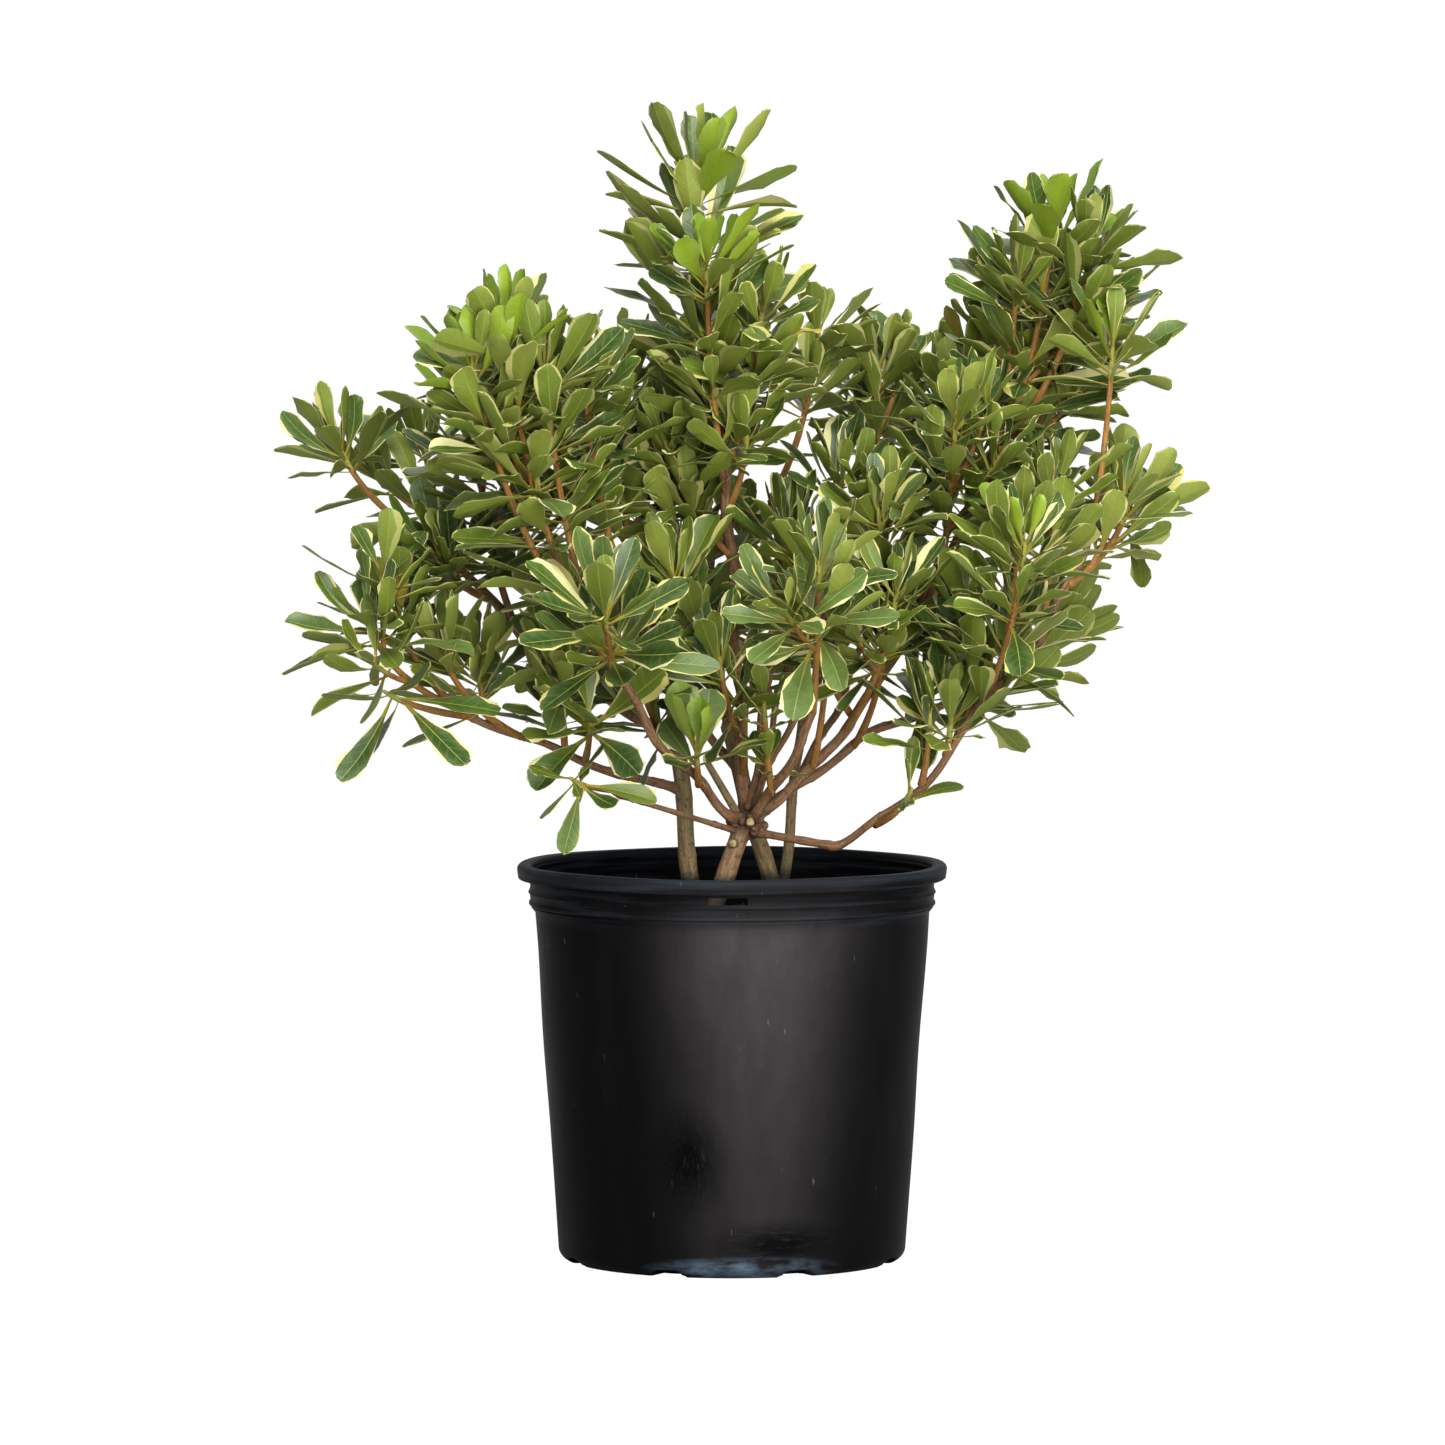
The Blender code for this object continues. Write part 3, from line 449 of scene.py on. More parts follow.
def limbPart(name, line, dice):
    # a limb on its bend: bark, an elbow where its row has one, a flared foot or a collar, and the knot's swelling
    row = limbs[name]
    isStem = "foot" in row
    rings, sides = relief["stemGrid" if isStem else "boughGrid"]
    shares = np.linspace(0.0, 1.0, rings)
    middle = bendPoint(line, shares)
    length = lineLength(line, rings)
    middle = wander(middle, shares * length, dice, relief["wander"] * (0.4 if isStem else 1.0))
    radius = barkRadius(length, shares, row["radii"], sides, dice, 0.6 if isStem else 1.0)
    if "straightTo" in row:
        # the foot runs straight to an elbow, then the bend goes on
        elbow = row["straightTo"]
        straight = middle[0] + (bendPoint(line, elbow) - middle[0]) * (shares / elbow)[:, None]
        hold = np.clip((elbow + 0.05 - shares) / 0.05, 0.0, 1.0)[:, None]
        middle = middle + (straight - middle) * hold
        radius *= 1 + relief["elbow"] * np.exp(-((shares - elbow) * length / relief["elbowLength"]) ** 2)[:, None]
    along = (shares * length)[:, None]
    if isStem:
        height = np.maximum(along - relief["buried"], 0.0)
        radius *= 1 + relief["flare"] * np.exp(-height / relief["flareHeight"])
    else:
        parentRadius = limbs[row["parent"]]["radii"][1]
        radius *= 1 + relief["collar"] * np.exp(-np.maximum(along - parentRadius, 0.0) / relief["collarLength"])
    if name == "stem_knot":
        turn = circle(sides)
        lobes = 1 + 0.28 * np.sin(3 * turn + 0.6) + 0.18 * np.sin(5 * turn + 2.0)
        swell = np.exp(-((shares - relief["knotPlace"]) / relief["knotSpread"]) ** 2)
        radius += relief["knotSwell"] * swell[:, None] * lobes[None, :]
        # small round humps crowded round the knot
        count = relief["humps"]
        centres = relief["knotPlace"] + dice.normal(0, 0.05, count)
        humpTurn = anyTurn(dice, count)
        away = np.angle(np.exp(1j * (turn[:, None] - humpTurn))) * 0.009
        down = (shares[:, None] - centres) * length
        humps = np.exp(-(away[None] ** 2 + down[:, None] ** 2) / relief["humpSize"] ** 2)
        radius += relief["humpHeight"] * (humps @ dice.uniform(0.3, 1.0, count))
    return tubePart(middle, radius, 2 if name == "stem_knot" else 0)


# pegs on the knot, in metres: its cut stub, the oval scar below it and a thin stub at its side
stubs = {
    "cutStub": {"foot": (0.0135, -0.025, 0.337), "heading": (0.05, -0.93, 0.3), "radius": 0.003, "length": 0.007},
    "ovalScar": {"foot": (0.0022, -0.023, 0.322), "heading": (-0.35, -0.93, 0.05), "radius": 0.003, "length": 0.0052},
    "sideStub": {"foot": (0.004, -0.017, 0.344), "heading": (-0.5, -0.1, 0.86), "radius": 0.0026, "length": 0.046},
}


def stubPart(row, dice):
    # a short peg whose end is dished: rings out to the rim, then in towards the middle of the cut
    ahead = unit(np.array(row["heading"]))
    middle = np.array(row["foot"]) + ahead * np.linspace(0.0, row["length"], 9)[:, None]
    middle = np.concatenate([middle, middle[-1:] - ahead * 0.0001 * np.arange(1, 6)[:, None] ** 1.5])
    size = np.concatenate([np.linspace(1.25, 1.0, 9), np.linspace(0.93, 0.12, 5)]) * row["radius"]
    size = size[:, None] * (1 + 0.08 * np.sin(3 * circle(20) + dice.uniform(0, 6)))
    return tubePart(middle, size, np.array([0] * 8 + [1] * 6))


def burlParts(dice):
    # rounded lumps crowded round the knot: short tubes whose radius is that of a ball, a little uneven
    parts = []
    for _ in range(burls["count"]):
        away = unit(dice.normal(0, 1, 3))
        away[1] = min(away[1], burls["frontMost"] + away[1] * 0.4)
        away = unit(away)
        size = dice.uniform(*burls["size"])
        centre = np.array(gnarl["middle"]) + away * dice.uniform(*burls["out"])
        shares = np.sin(np.linspace(-0.5, 0.5, 13) * math.pi * 0.985)
        turn = circle(18)
        uneven = 1 + 0.1 * np.sin(2 * turn + dice.uniform(0, 6)) + 0.07 * np.sin(5 * turn + dice.uniform(0, 6))
        radius = np.sqrt(1 - shares ** 2)[:, None] * size * uneven
        parts.append(tubePart(centre + away * shares[:, None] * size * 1.15, radius, 2))
    return parts


def addLimbs(lines):
    # stems with the knot's stubs and burls as one piece, boughs as another
    dice = np.random.default_rng(11)
    stemNames = [name for name in limbs if "foot" in limbs[name]]
    boughNames = [name for name in limbs if "parent" in limbs[name]]
    stems = [limbPart(name, lines[name], dice) for name in stemNames]
    stems += [stubPart(row, dice) for row in stubs.values()] + burlParts(np.random.default_rng(3))
    piece = joinPiece("stems", stems, [barkFinish(name) for name in ("stemBark", "cutWood", "knotBark")])
    settle(piece, "stem_bark", *stemNames)
    piece = joinPiece("boughs", [limbPart(name, lines[name], dice) for name in boughNames], [barkFinish("boughBark")])
    settle(piece, "bough_bark", *[name for name in boughNames if "spare" not in limbs[name]])


# bark as a screen shows it: dark, main, light and moss
barkTones = {
    "stemBark": ((72, 56, 36), (128, 108, 72), (158, 141, 102), (110, 108, 70)),
    "cutWood": ((150, 126, 80), (202, 182, 128), (220, 206, 160), (178, 152, 102)),
    "knotBark": ((78, 52, 36), (142, 108, 76), (182, 150, 116), (128, 112, 80)),
    "boughBark": ((74, 50, 34), (130, 94, 65), (170, 133, 98), (118, 98, 64)),
    "shoot_young": ((110, 112, 44), (146, 146, 66), (168, 166, 90), (138, 130, 58)),
    "shoot_orange": ((112, 72, 32), (152, 106, 50), (178, 134, 76), (140, 118, 56)),
    "shoot_brown": ((74, 48, 28), (116, 78, 46), (150, 112, 74), (104, 84, 50)),
}
gnarl = {"middle": (0.0125, -0.014, 0.339), "near": 0.015, "far": 0.0255, "tone": (62, 39, 27)}
burls = {"count": 22, "out": (0.0112, 0.0145), "size": (0.0022, 0.0038), "frontMost": -0.55}


def barkFinish(name):
    # streaky bark: a slow tone along the limb, fine grain along it, thin dark ring marks and flecks
    dark, main, light, moss = (hue(*tone) for tone in barkTones[name])
    nodes = plainFinish(name, main, 0.72, 0.3)
    own = nodes.place()
    grain = nodes.noise(nodes.place((7.0, 17.0, 1.0), "UV"), 3.0, 6.0, 0.65)
    marks = nodes.noise(nodes.place((9.0, 260.0, 1.0), "UV"), 1.0, 2.0)
    flecks = nodes.noise(nodes.place((1.0, 1.0, 0.45)), 420.0, 3.0, 0.6)
    colour = nodes.ramp(grain, (0.28, 0.5, 0.74), (dark, main, light))
    colour = nodes.mix(nodes.grey(nodes.noise(own, 60.0, 3.0), 0.0, 0.55, 0.5, 0.68), colour, moss)
    colour = nodes.mix(nodes.grey(marks, 0.0, 0.75, 0.57, 0.68), colour, dark)
    colour = nodes.mix(nodes.grey(flecks, 0.0, 0.45, 0.56, 0.66), colour, dark)
    if name in ("knotBark", "stemBark"):
        # painted shade: dark from where it leaves the mix up to just under the pot's rim, the shade inside the pot
        # that the slots show
        colour = nodes.mix(nodes.grey(nodes.height(own), 0.92, 0.0, 0.2925, 0.3), colour, hue(24, 20, 16))
    if name in ("knotBark", "boughBark"):
        # darker round the knot, with an edge that the grain makes ragged
        away = nodes.times(nodes.distance(own, gnarl["middle"]), nodes.times(grain, 0.008), "ADD")
        colour = nodes.mix(nodes.grey(away, 0.92, 0.0, gnarl["near"], gnarl["far"]), colour, hue(*gnarl["tone"]))
    nodes.give("Base Color", colour)
    nodes.bump(nodes.times(grain, nodes.times(marks, -0.6), "ADD"), 0.7, 0.0014)
    return nodes.owner


# shoots and side twigs, and the whorls of leaves on them
shoots = {
    "radii": (0.003, 0.0019), "sideRadii": (0.0022, 0.0016), "knee": (0.72, 0.34), "ringGap": 0.0035, "sides": 10,
    "sideGap": 0.045, "fullLeader": 0.14, "lowestTwig": 0.36, "sideSag": 0.06, "sideFresh": 0.4, "sideSize": 0.92,
    "youngTo": 0.022, "orangeTo": 0.15, "budThin": 0.45, "budLength": 0.004,
    "sideTwigs": (0, 2), "sideLength": (0.05, 0.085), "sidePitch": (30, 52), "sideLift": 0.35, "upright": 0.6,
    "flushGap": (0.04, 0.049), "leafyShare": 0.9,
    "flushLeaves": (18, 15, 12, 10, 8, 6), "sideLeaves": (13, 8),
    "flushDepth": 0.021, "topFlushDepth": 0.027, "firstPitch": (16, 69), "laterPitch": (35, 76),
}


def twig(parent, at, apex, **more):
    # leaves its limb at a share of the way along, for an apex in millimetres; then what differs from most twigs
    return {"parent": parent, "at": at, "apex": metres(apex), "fresh": 0.0, "size": 1.0, "sides": shoots["sideTwigs"],
            "leafy": 1.0, "leafyShare": shoots["leafyShare"], "broad": 1.0, "droop": 0.0, **more}


def filler(parent, at, apex, **more):
    # a twig without side twigs
    return twig(parent, at, apex, **{"sides": (0, 0), **more})


# foliage: one leader for each mass of the frame, from its limb to its apex
masses = {
    "foliage_top": twig("bough_centre", 1.0, (-28, 30, 832), sides=(0, 0), size=1.3, fresh=0.5),
    "foliage_top_front": twig("bough_centre", 0.86, (-20, -40, 765), sides=(0, 1), fresh=1.0),
    "foliage_waist": twig("bough_centre", 0.72, (-50, 30, 615)),
    "foliage_back_top": twig("bough_back_centre", 1.0, (68, 100, 711), leafyShare=0.42),
    "foliage_back_upper": twig("bough_back_upper", 1.0, (115, 130, 685)),
    "foliage_right_upper": twig("bough_diagonal", 0.84, (224, 90, 741), size=1.06),
    "foliage_right_top": twig("bough_diagonal", 1.0, (245, 10, 788), sides=(1, 2), size=1.16, fresh=0.8, droop=-3),
    "foliage_right_top_inner": twig("bough_diagonal", 0.92, (265, 70, 705), leafyShare=0.6),
    "foliage_right_inner": twig("bough_diagonal", 0.76, (170, -50, 655)),
    "foliage_right_tall": twig("bough_right_outer", 1.0, (290, -30, 705), sides=(0, 1), size=1.02, leafyShare=0.2,
                               fresh=0.3),
    "foliage_right_far": twig("bough_right_outer", 0.85, (305, 30, 577), leafy=0.8, leafyShare=0.45),
    "foliage_right_front": twig("bough_low_right", 1.0, (220, -140, 558), sides=(1, 1), leafyShare=0.75, fresh=0.4),
    "foliage_right_low": twig("bough_low_right", 0.84, (166, -90, 428), leafy=0.9),
    "foliage_right_back_low": twig("bough_right", 1.0, (252, 120, 484), leafy=0.8),
    "foliage_right_mid": twig("bough_right", 0.7, (155, 30, 475)),
    "foliage_low_right": twig("bough_low_right", 0.55, (136, -100, 370), sides=(0, 0), size=0.85, leafy=0.2,
                              fresh=0.3),
    "foliage_front": twig("bough_front", 1.0, (65, -170, 545), sides=(1, 1), leafyShare=0.5, fresh=0.2),
    "foliage_centre_upper": twig("bough_diagonal", 0.58, (115, -30, 585)),
    "foliage_centre_lower": twig("bough_diagonal", 0.38, (125, -90, 520), leafy=0.8, leafyShare=0.55),
    "foliage_left_front": twig("bough_left_front", 1.0, (-172, -100, 716), sides=(1, 1), size=1.08, fresh=1.0),
    "foliage_rosette": twig("bough_left_front", 0.88, (-95, -190, 510), sides=(0, 0), size=1.15),
    "foliage_upper_left": twig("bough_upper_left", 1.0, (-110, -20, 670)),
    "foliage_upper_left_back": twig("bough_upper_left", 0.75, (-83, 70, 681), leafy=0.8),
    "foliage_left_inner": twig("bough_left_back", 0.68, (-200, -20, 670), fresh=0.4),
    "foliage_left_outer": twig("bough_left_back", 1.0, (-304, 60, 624), leafyShare=0.22),
    "foliage_left_back": twig("bough_left_back", 0.92, (-240, 130, 622), leafyShare=0.35),
    "foliage_left_mid": twig("bough_left_back", 0.8, (-224, -30, 545), leafyShare=0.6),
    "foliage_low_left_outer": twig("bough_left_low", 1.0, (-278, -90, 499), size=1.12, leafy=0.7, leafyShare=0.6,
                                   droop=16),
    "foliage_low_left_inner": twig("bough_left_low", 0.78, (-195, -30, 462), leafy=0.95, leafyShare=0.75),
    "foliage_low_left": twig("bough_low_left", 1.0, (-122, -130, 380), sides=(0, 0), size=0.78, leafy=0.5,
                             leafyShare=0.3, droop=60),
    "foliage_left_middle": twig("bough_left_low", 0.48, (-130, -50, 470), leafy=0.8, leafyShare=0.7),
    "foliage_centre_low": twig("bough_left_front", 0.32, (-27, -90, 402), sides=(0, 0), size=0.98, leafy=0.5,
                               leafyShare=0.35, fresh=0.6, broad=1.7),
    "foliage_centre_back": twig("stem_left", 1.0, (-30, 40, 545)),
    "foliage_far_left": twig("bough_back_left", 1.0, (-170, 240, 650), fresh=0.4),
    "foliage_far_mid": twig("bough_back_mid", 1.0, (-30, 265, 682), fresh=0.7),
    "foliage_far_right": twig("bough_back_right", 1.0, (165, 265, 670)),
    "foliage_far_low": twig("bough_back_mid", 0.45, (45, 215, 495)),
    "foliage_far_low_left": twig("bough_back_left", 0.55, (-135, 205, 480)),
}
# twigs that fill the crown's inside and its lower edge. They stand for no node of their own
fillers = {
    "fillCentre": filler("bough_diagonal", 0.42, (42, -10, 562), sides=(0, 1)),
    "fillWaist": filler("bough_centre", 0.4, (-45, -50, 530), sides=(0, 1)),
    "fillFront": filler("bough_centre", 0.22, (-10, -70, 468), leafy=0.6),
    "fillKnot": filler("bough_front", 0.4, (24, -75, 440), size=0.6, leafy=0.5),
    "fillInner": filler("stem_left", 0.66, (-72, -35, 455), leafy=0.7),
    "fillYellow": filler("bough_left_low", 0.4, (-107, -85, 422), leafy=0.5, leafyShare=0.3, droop=25, broad=1.5),
    "fillLowLeft": filler("bough_left_low", 0.66, (-222, -75, 474), leafy=0.6, leafyShare=0.7),
    "fillHanging": filler("bough_left_low", 0.84, (-264, -88, 443), size=1.12, leafy=0.4, leafyShare=0.4, droop=56),
    "fillRight": filler("bough_diagonal", 0.26, (75, -35, 500), sides=(0, 1), leafy=0.8, leafyShare=0.4),
    "fillLeftTop": filler("bough_left_front", 1.0, (-196, -105, 694), leafyShare=0.4, fresh=0.6),
    "fillLeftInner": filler("bough_left_front", 0.96, (-142, -90, 692), leafyShare=0.5, fresh=0.4),
    "fillRightTop": filler("bough_diagonal", 0.97, (276, 0, 780), leafyShare=0.3, fresh=0.3),
    "fillTopRight": filler("bough_centre", 0.95, (24, -10, 738), size=0.9, fresh=0.3),
    "fillGap": filler("bough_back_centre", 0.8, (86, 20, 600), leafyShare=0.4),
    "fillRightTopLeft": filler("bough_diagonal", 0.97, (218, 0, 758), size=0.9, leafyShare=0.25),
    "fillRightHole": filler("bough_right_outer", 0.6, (246, -20, 600), leafyShare=0.6),
    "fillRightMid": filler("bough_low_right", 0.93, (184, -60, 498), leafy=0.7, leafyShare=0.7),
    "fillKnotTwo": filler("bough_centre", 0.12, (10, -50, 446), size=0.8, leafy=0.6, leafyShare=0.4),
    "fillRightLow": filler("bough_low_right", 0.74, (150, -90, 426), leafy=0.6, leafyShare=0.5),
    "fillRightEnd": filler("bough_low_right", 0.96, (206, -82, 440), leafy=0.6, leafyShare=0.3, droop=5),
    "fillLeftLow": filler("bough_left_low", 0.9, (-256, -50, 502), leafy=0.8, leafyShare=0.4),
    "fillUpper": filler("bough_centre", 0.84, (12, -20, 634), leafy=0.8, leafyShare=0.5),
    "fillLowRight": filler("bough_right", 0.45, (118, -20, 478), leafy=0.7, leafyShare=0.5),
}
leafShape = {
    "length": (0.055, 0.078), "width": 0.3, "topSize": 0.64,
    "rows": (0.0, 0.22, 0.42, 0.6, 0.75, 0.87, 0.945, 0.985),
    "outline": (0.07, 0.18, 0.5, 0.82, 1.0, 0.93, 0.7, 0.38), "tipRound": 0.026,
    "petioleHalf": 0.0009, "ribHalf": 0.0006, "thickness": 0.0006,
    "bendDegrees": (-34, 14), "bendSpread": 13, "foldDegrees": (4, 26), "curl": 0.2,
    "waveHeight": 0.0019, "edgeNoise": 0.075, "marginNoise": (0.04, 0.13), "rollDegrees": 23,
    "marginShare": (0.86, 0.985),
    "roomNormal": 0.0042, "roomAcross": 0.0125, "tries": 6, "leastRoom": 0.8, "nearby": 0.12, "limbGap": 0.004,
}


def growShoots(lines, dice):
    # leaders run from limb to apex, side twigs leave them at seeded turns
    grown = []
    outward, upward = shoots["knee"]
    base, end = shoots["radii"]
    for name, row in {**masses, **fillers}.items():
        start, apex = bendPoint(lines[row["parent"]], row["at"]), np.array(row["apex"])
        line = start, start + (apex - start) * np.array([outward, outward, upward]), apex
        thick = min(limbs[row["parent"]]["radii"][1], base) if row["at"] == 1.0 else base
        grown.append({**row, "mass": name, "line": line, "radii": (thick, end), "side": False,
                      "length": lineLength(line)})
        grown += growSides(grown[-1], dice)
    return grown


def lineLength(line, count=17):
    # sum of the steps between points at even shares
    marks = bendPoint(line, np.linspace(0.0, 1.0, count))
    return float(np.linalg.norm(np.diff(marks, axis=0), axis=1).sum())


def heading(line, share):
    # the way a bend runs: its two legs weighed by the share left and the share gone
    start, control, end = line
    return unit((1 - share) * (control - start) + share * (end - control))


def sideways(axis, turn):
    # a direction square to the axis, at a turn round it
    seed = np.array([0.0, 0.0, 1.0]) if abs(axis[2]) < 0.9 else np.array([1.0, 0.0, 0.0])
    first = unit(np.cross(axis, seed))
    return first * math.cos(turn) + np.cross(axis, first) * math.sin(turn)


def growSides(leader, dice):
    # twigs climb the leader in a golden-angle spiral, one to every 45 mm at most
    least, most = leader["sides"]
    count = min(int(dice.integers(least, most + 1)), int(leader["length"] / shoots["sideGap"]))
    turn = dice.uniform(0, 2 * math.pi)
    sides = []
    for number in range(count):
        share = 0.15 + 0.55 * (number + dice.uniform(0.2, 0.8)) / count
        start = bendPoint(leader["line"], share)
        axis = heading(leader["line"], share)
        pitch = math.radians(dice.uniform(*shoots["sidePitch"]))
        length = dice.uniform(*shoots["sideLength"]) * min(1.0, leader["length"] / shoots["fullLeader"])
        along = axis * math.cos(pitch) + sideways(axis, turn) * math.sin(pitch)
        end = start + along * length + np.array([0.0, 0.0, shoots["sideLift"] * length])
        turn += goldenTurn + dice.uniform(-0.4, 0.4)
        if end[2] < shoots["lowestTwig"]:
            continue
        line = bendLine(start, end, shoots["sideSag"] * length)
        sides.append({**leader, "line": line, "radii": shoots["sideRadii"], "side": True, "length": lineLength(line),
                      "fresh": leader["fresh"] * shoots["sideFresh"], "size": leader["size"] * shoots["sideSize"],
                      "leafyShare": shoots["leafyShare"]})
    return sides


def growLeaves(grown, dice):
    # whorls at even gaps down each shoot. In a whorl the leaves climb a golden-angle spiral
    rows = []
    for order, shoot in enumerate(grown):
        counts = shoots["sideLeaves"] if shoot["side"] else shoots["flushLeaves"]
        down = 0.0
        turn = dice.uniform(0, 2 * math.pi)
        tint = dice.integers(0, 4)
        for flush, count in enumerate(counts):
            if down > shoot["leafyShare"] * shoot["length"] - 0.008:
                break
            depth = shoots["flushDepth"] if flush else shoots["topFlushDepth"]
            top, low = shoots["laterPitch"] if flush else shoots["firstPitch"]
            count = max(2, round(count * shoot["leafy"]))
            for number in range(count):
                share = (number + 0.4) / count
                place = max(0.0, 1 - (down + depth * share) / shoot["length"])
                grow = 1.0 if flush else leafShape["topSize"] + (1 - leafShape["topSize"]) * min(1.0, share / 0.45)
                bendLow, bendHigh = leafShape["bendDegrees"]
                rows.append({"shoot": order, "place": place, "turn": turn, "share": share,
                             "pitch": math.radians(top + (low - top) * share ** 0.85 + 3 * min(flush, 3)
                                                   + shoot["droop"]),
                             "bend": math.radians(bendLow + (bendHigh - bendLow) * share + 5 * min(flush, 3)
                                                  + dice.normal(0, leafShape["bendSpread"])),
                             "size": grow * shoot["size"] * dice.uniform(0.88, 1.06), "tint": tint,
                             "broad": shoot["broad"], "fresh": shoot["fresh"] if flush == 0 else 0.0,
                             "priority": flush + share * 0.5 + (0.7 if shoot["side"] else 0.0)})
                turn += goldenTurn + dice.normal(0, 0.1)
            down += dice.uniform(*shoots["flushGap"])
    return rows


crownReach = {"low": (-0.356, -0.28, 0.325), "high": (0.364, 0.338, 0.892)}


def seatLeaves(rows, grown, lines, dice):
    # each leaf tries a few turns and pitches and keeps the roomiest. One that would still touch a limb or
    # another leaf, or leave the crown, is skipped
    low, high = np.array(crownReach["low"]), np.array(crownReach["high"])
    limbMarks, limbSize = limbSamples(lines)
    reach = np.array([0.42, 0.68, 0.95])
    marks, used, kept = np.full((len(rows) * 3, 3), 9.0), 0, []
    for row in sorted(rows, key=lambda row: row["priority"]):
        shoot = grown[row["shoot"]]
        root = bendPoint(shoot["line"], row["place"])
        axis = unit(heading(shoot["line"], row["place"]) + np.array([0.0, 0.0, shoots["upright"]]))
        length = dice.uniform(*leafShape["length"]) * row["size"]
        near = marks[:used]
        near = near[np.abs(near - root).max(axis=1) < leafShape["nearby"]]
        nearLimbs = np.abs(limbMarks - root).max(axis=1) < leafShape["nearby"]
        best, bestRoom = None, leafShape["leastRoom"]
        turns = row["turn"] + dice.normal(0, 0.28, leafShape["tries"])
        pitches = row["pitch"] + dice.normal(0, 0.13, leafShape["tries"])
        for turn, pitch in zip(turns, pitches):
            side = sideways(axis, turn)
            along = axis * math.cos(pitch) + side * math.sin(pitch)
            upper = axis * math.sin(pitch) - side * math.cos(pitch)
            turned = row["bend"] * reach / 2
            samples = root + length * reach[:, None] * (np.cos(turned)[:, None] * along
                                                        - np.sin(turned)[:, None] * upper)
            if np.any(samples < low) or np.any(samples > high):
                continue
            gap = np.linalg.norm(limbMarks[nearLimbs][None] - samples[:, None], axis=2)
            if gap.size and np.any(gap < limbSize[nearLimbs][None] + leafShape["limbGap"]):
                continue
            away = near[None] - samples[:, None]
            across = away @ upper
            room = np.sqrt((across / leafShape["roomNormal"]) ** 2
                           + ((away ** 2).sum(axis=2) - across ** 2) / leafShape["roomAcross"] ** 2)
            least = float(room.min()) if room.size else 9.0
            if least > bestRoom:
                best, bestRoom = (along, upper, samples), least
        if best is None:
            continue
        marks[used:used + 3] = best[2]
        used += 3
        kept.append({**row, "root": root, "along": best[0], "upper": best[1], "length": length,
                     "mass": shoot["mass"]})
    return kept


def limbSamples(lines):
    # points down the middle of each limb, with its radius
    marks, sizes = [], []
    for name, line in lines.items():
        shares = np.linspace(0.0, 1.0, 40)
        marks.append(bendPoint(line, shares))
        first, last = limbs[name]["radii"]
        sizes.append(first + (last - first) * shares)
    return np.concatenate(marks), np.concatenate(sizes)


# leaf colours: plain tones dealt out by shoot and by leaf
leafTones = {
    "topDeep": (45, 69, 25), "topMid": (62, 87, 28), "topGrey": (79, 100, 46), "topWarm": (86, 104, 28),
    "under0": (96, 113, 32), "under1": (110, 125, 40), "under2": (124, 135, 51), "under3": (102, 115, 39),
    "cream": (204, 199, 140), "creamWarm": (188, 182, 104), "greyEdge": (134, 147, 90), "underEdge": (184, 180, 110),
    "dullEdge": (150, 153, 86), "rib": (128, 138, 64), "petiole": (142, 134, 48), "freshTop": (106, 135, 28),
    "freshUnder": (127, 150, 36), "oldLeaf": (176, 150, 50),
}
blade = {"veins": 8.5, "veinSlant": 1.0, "veinShare": 0.24, "paleShare": 0.36, "baseShare": 0.5}
deal = {"shootTone": 0.6, "old": 0.003, "paleCream": 0.65, "paleUnderEdge": 0.55}


def leafFinish(name, tone):
    # a plain tone with veins and pores in relief. The broad parts of a leaf are clouded, flecked and veined as well
    top, edge = name.startswith(("top", "fresh")), name.lower().endswith("edge") or name.startswith("cream")
    colour = hue(*tone)
    nodes = plainFinish("leaf_" + name, colour, 0.4 if top else 0.55, 0.42 if top else 0.3)
    own = nodes.place()
    split = nodes.add("SeparateXYZ", Vector=nodes.place(source="UV")).outputs
    around, along = split["X"], split["Y"]
    # share of the way from rib to edge, the same on both halves and both faces
    out = nodes.times(nodes.times(nodes.times(around, 0.5, "MODULO"), -0.25, "ADD"), 0.0, "ABSOLUTE")
    out = nodes.grey(out, 0.0, 1.0, 0.05, 0.15)
    # side veins: lines that slant from the rib towards the tip
    fullTurn = 6.2832
    slant = nodes.times(nodes.times(along, blade["veins"] * fullTurn),
                        nodes.times(out, -fullTurn * blade["veinSlant"]), "ADD")
    veins = nodes.grey(nodes.times(slant, 0.0, "SINE"), 0.0, 1.0, 0.72, 1.0)
    pores = nodes.noise(own, 900.0, 2.0)
    nodes.bump(nodes.times(nodes.times(veins, -0.8), nodes.times(pores, 0.5), "ADD"), 0.3, 0.0004)
    if edge or name in ("rib", "petiole"):
        return nodes.owner
    pale = tuple(0.45 * part + 0.55 * other for part, other in zip(colour, hue(*leafTones["greyEdge"])))
    warm = tuple(0.4 * part + 0.6 * other for part, other in zip(colour, hue(*leafTones["petiole"])))
    deep = tuple(part * 0.72 for part in colour)
    # pale clouds towards the edge, deeper flecks between, a warm foot and faint veins
    clouds = nodes.times(nodes.times(out, 0.55), nodes.noise(own, 70.0, 3.0, 0.6), "ADD")
    shown = nodes.mix(nodes.grey(clouds, 0.0, blade["paleShare"], 0.66, 1.04), colour, pale)
    shown = nodes.mix(nodes.grey(nodes.noise(own, 80.0, 3.0), 0.0, 0.24, 0.42, 0.78), shown, deep)
    shown = nodes.mix(nodes.grey(along, blade["baseShare"], 0.0, 0.15, 0.55), shown, warm)
    nodes.give("Base Color", nodes.mix(nodes.times(veins, blade["veinShare"]), shown, warm))
    return nodes.owner


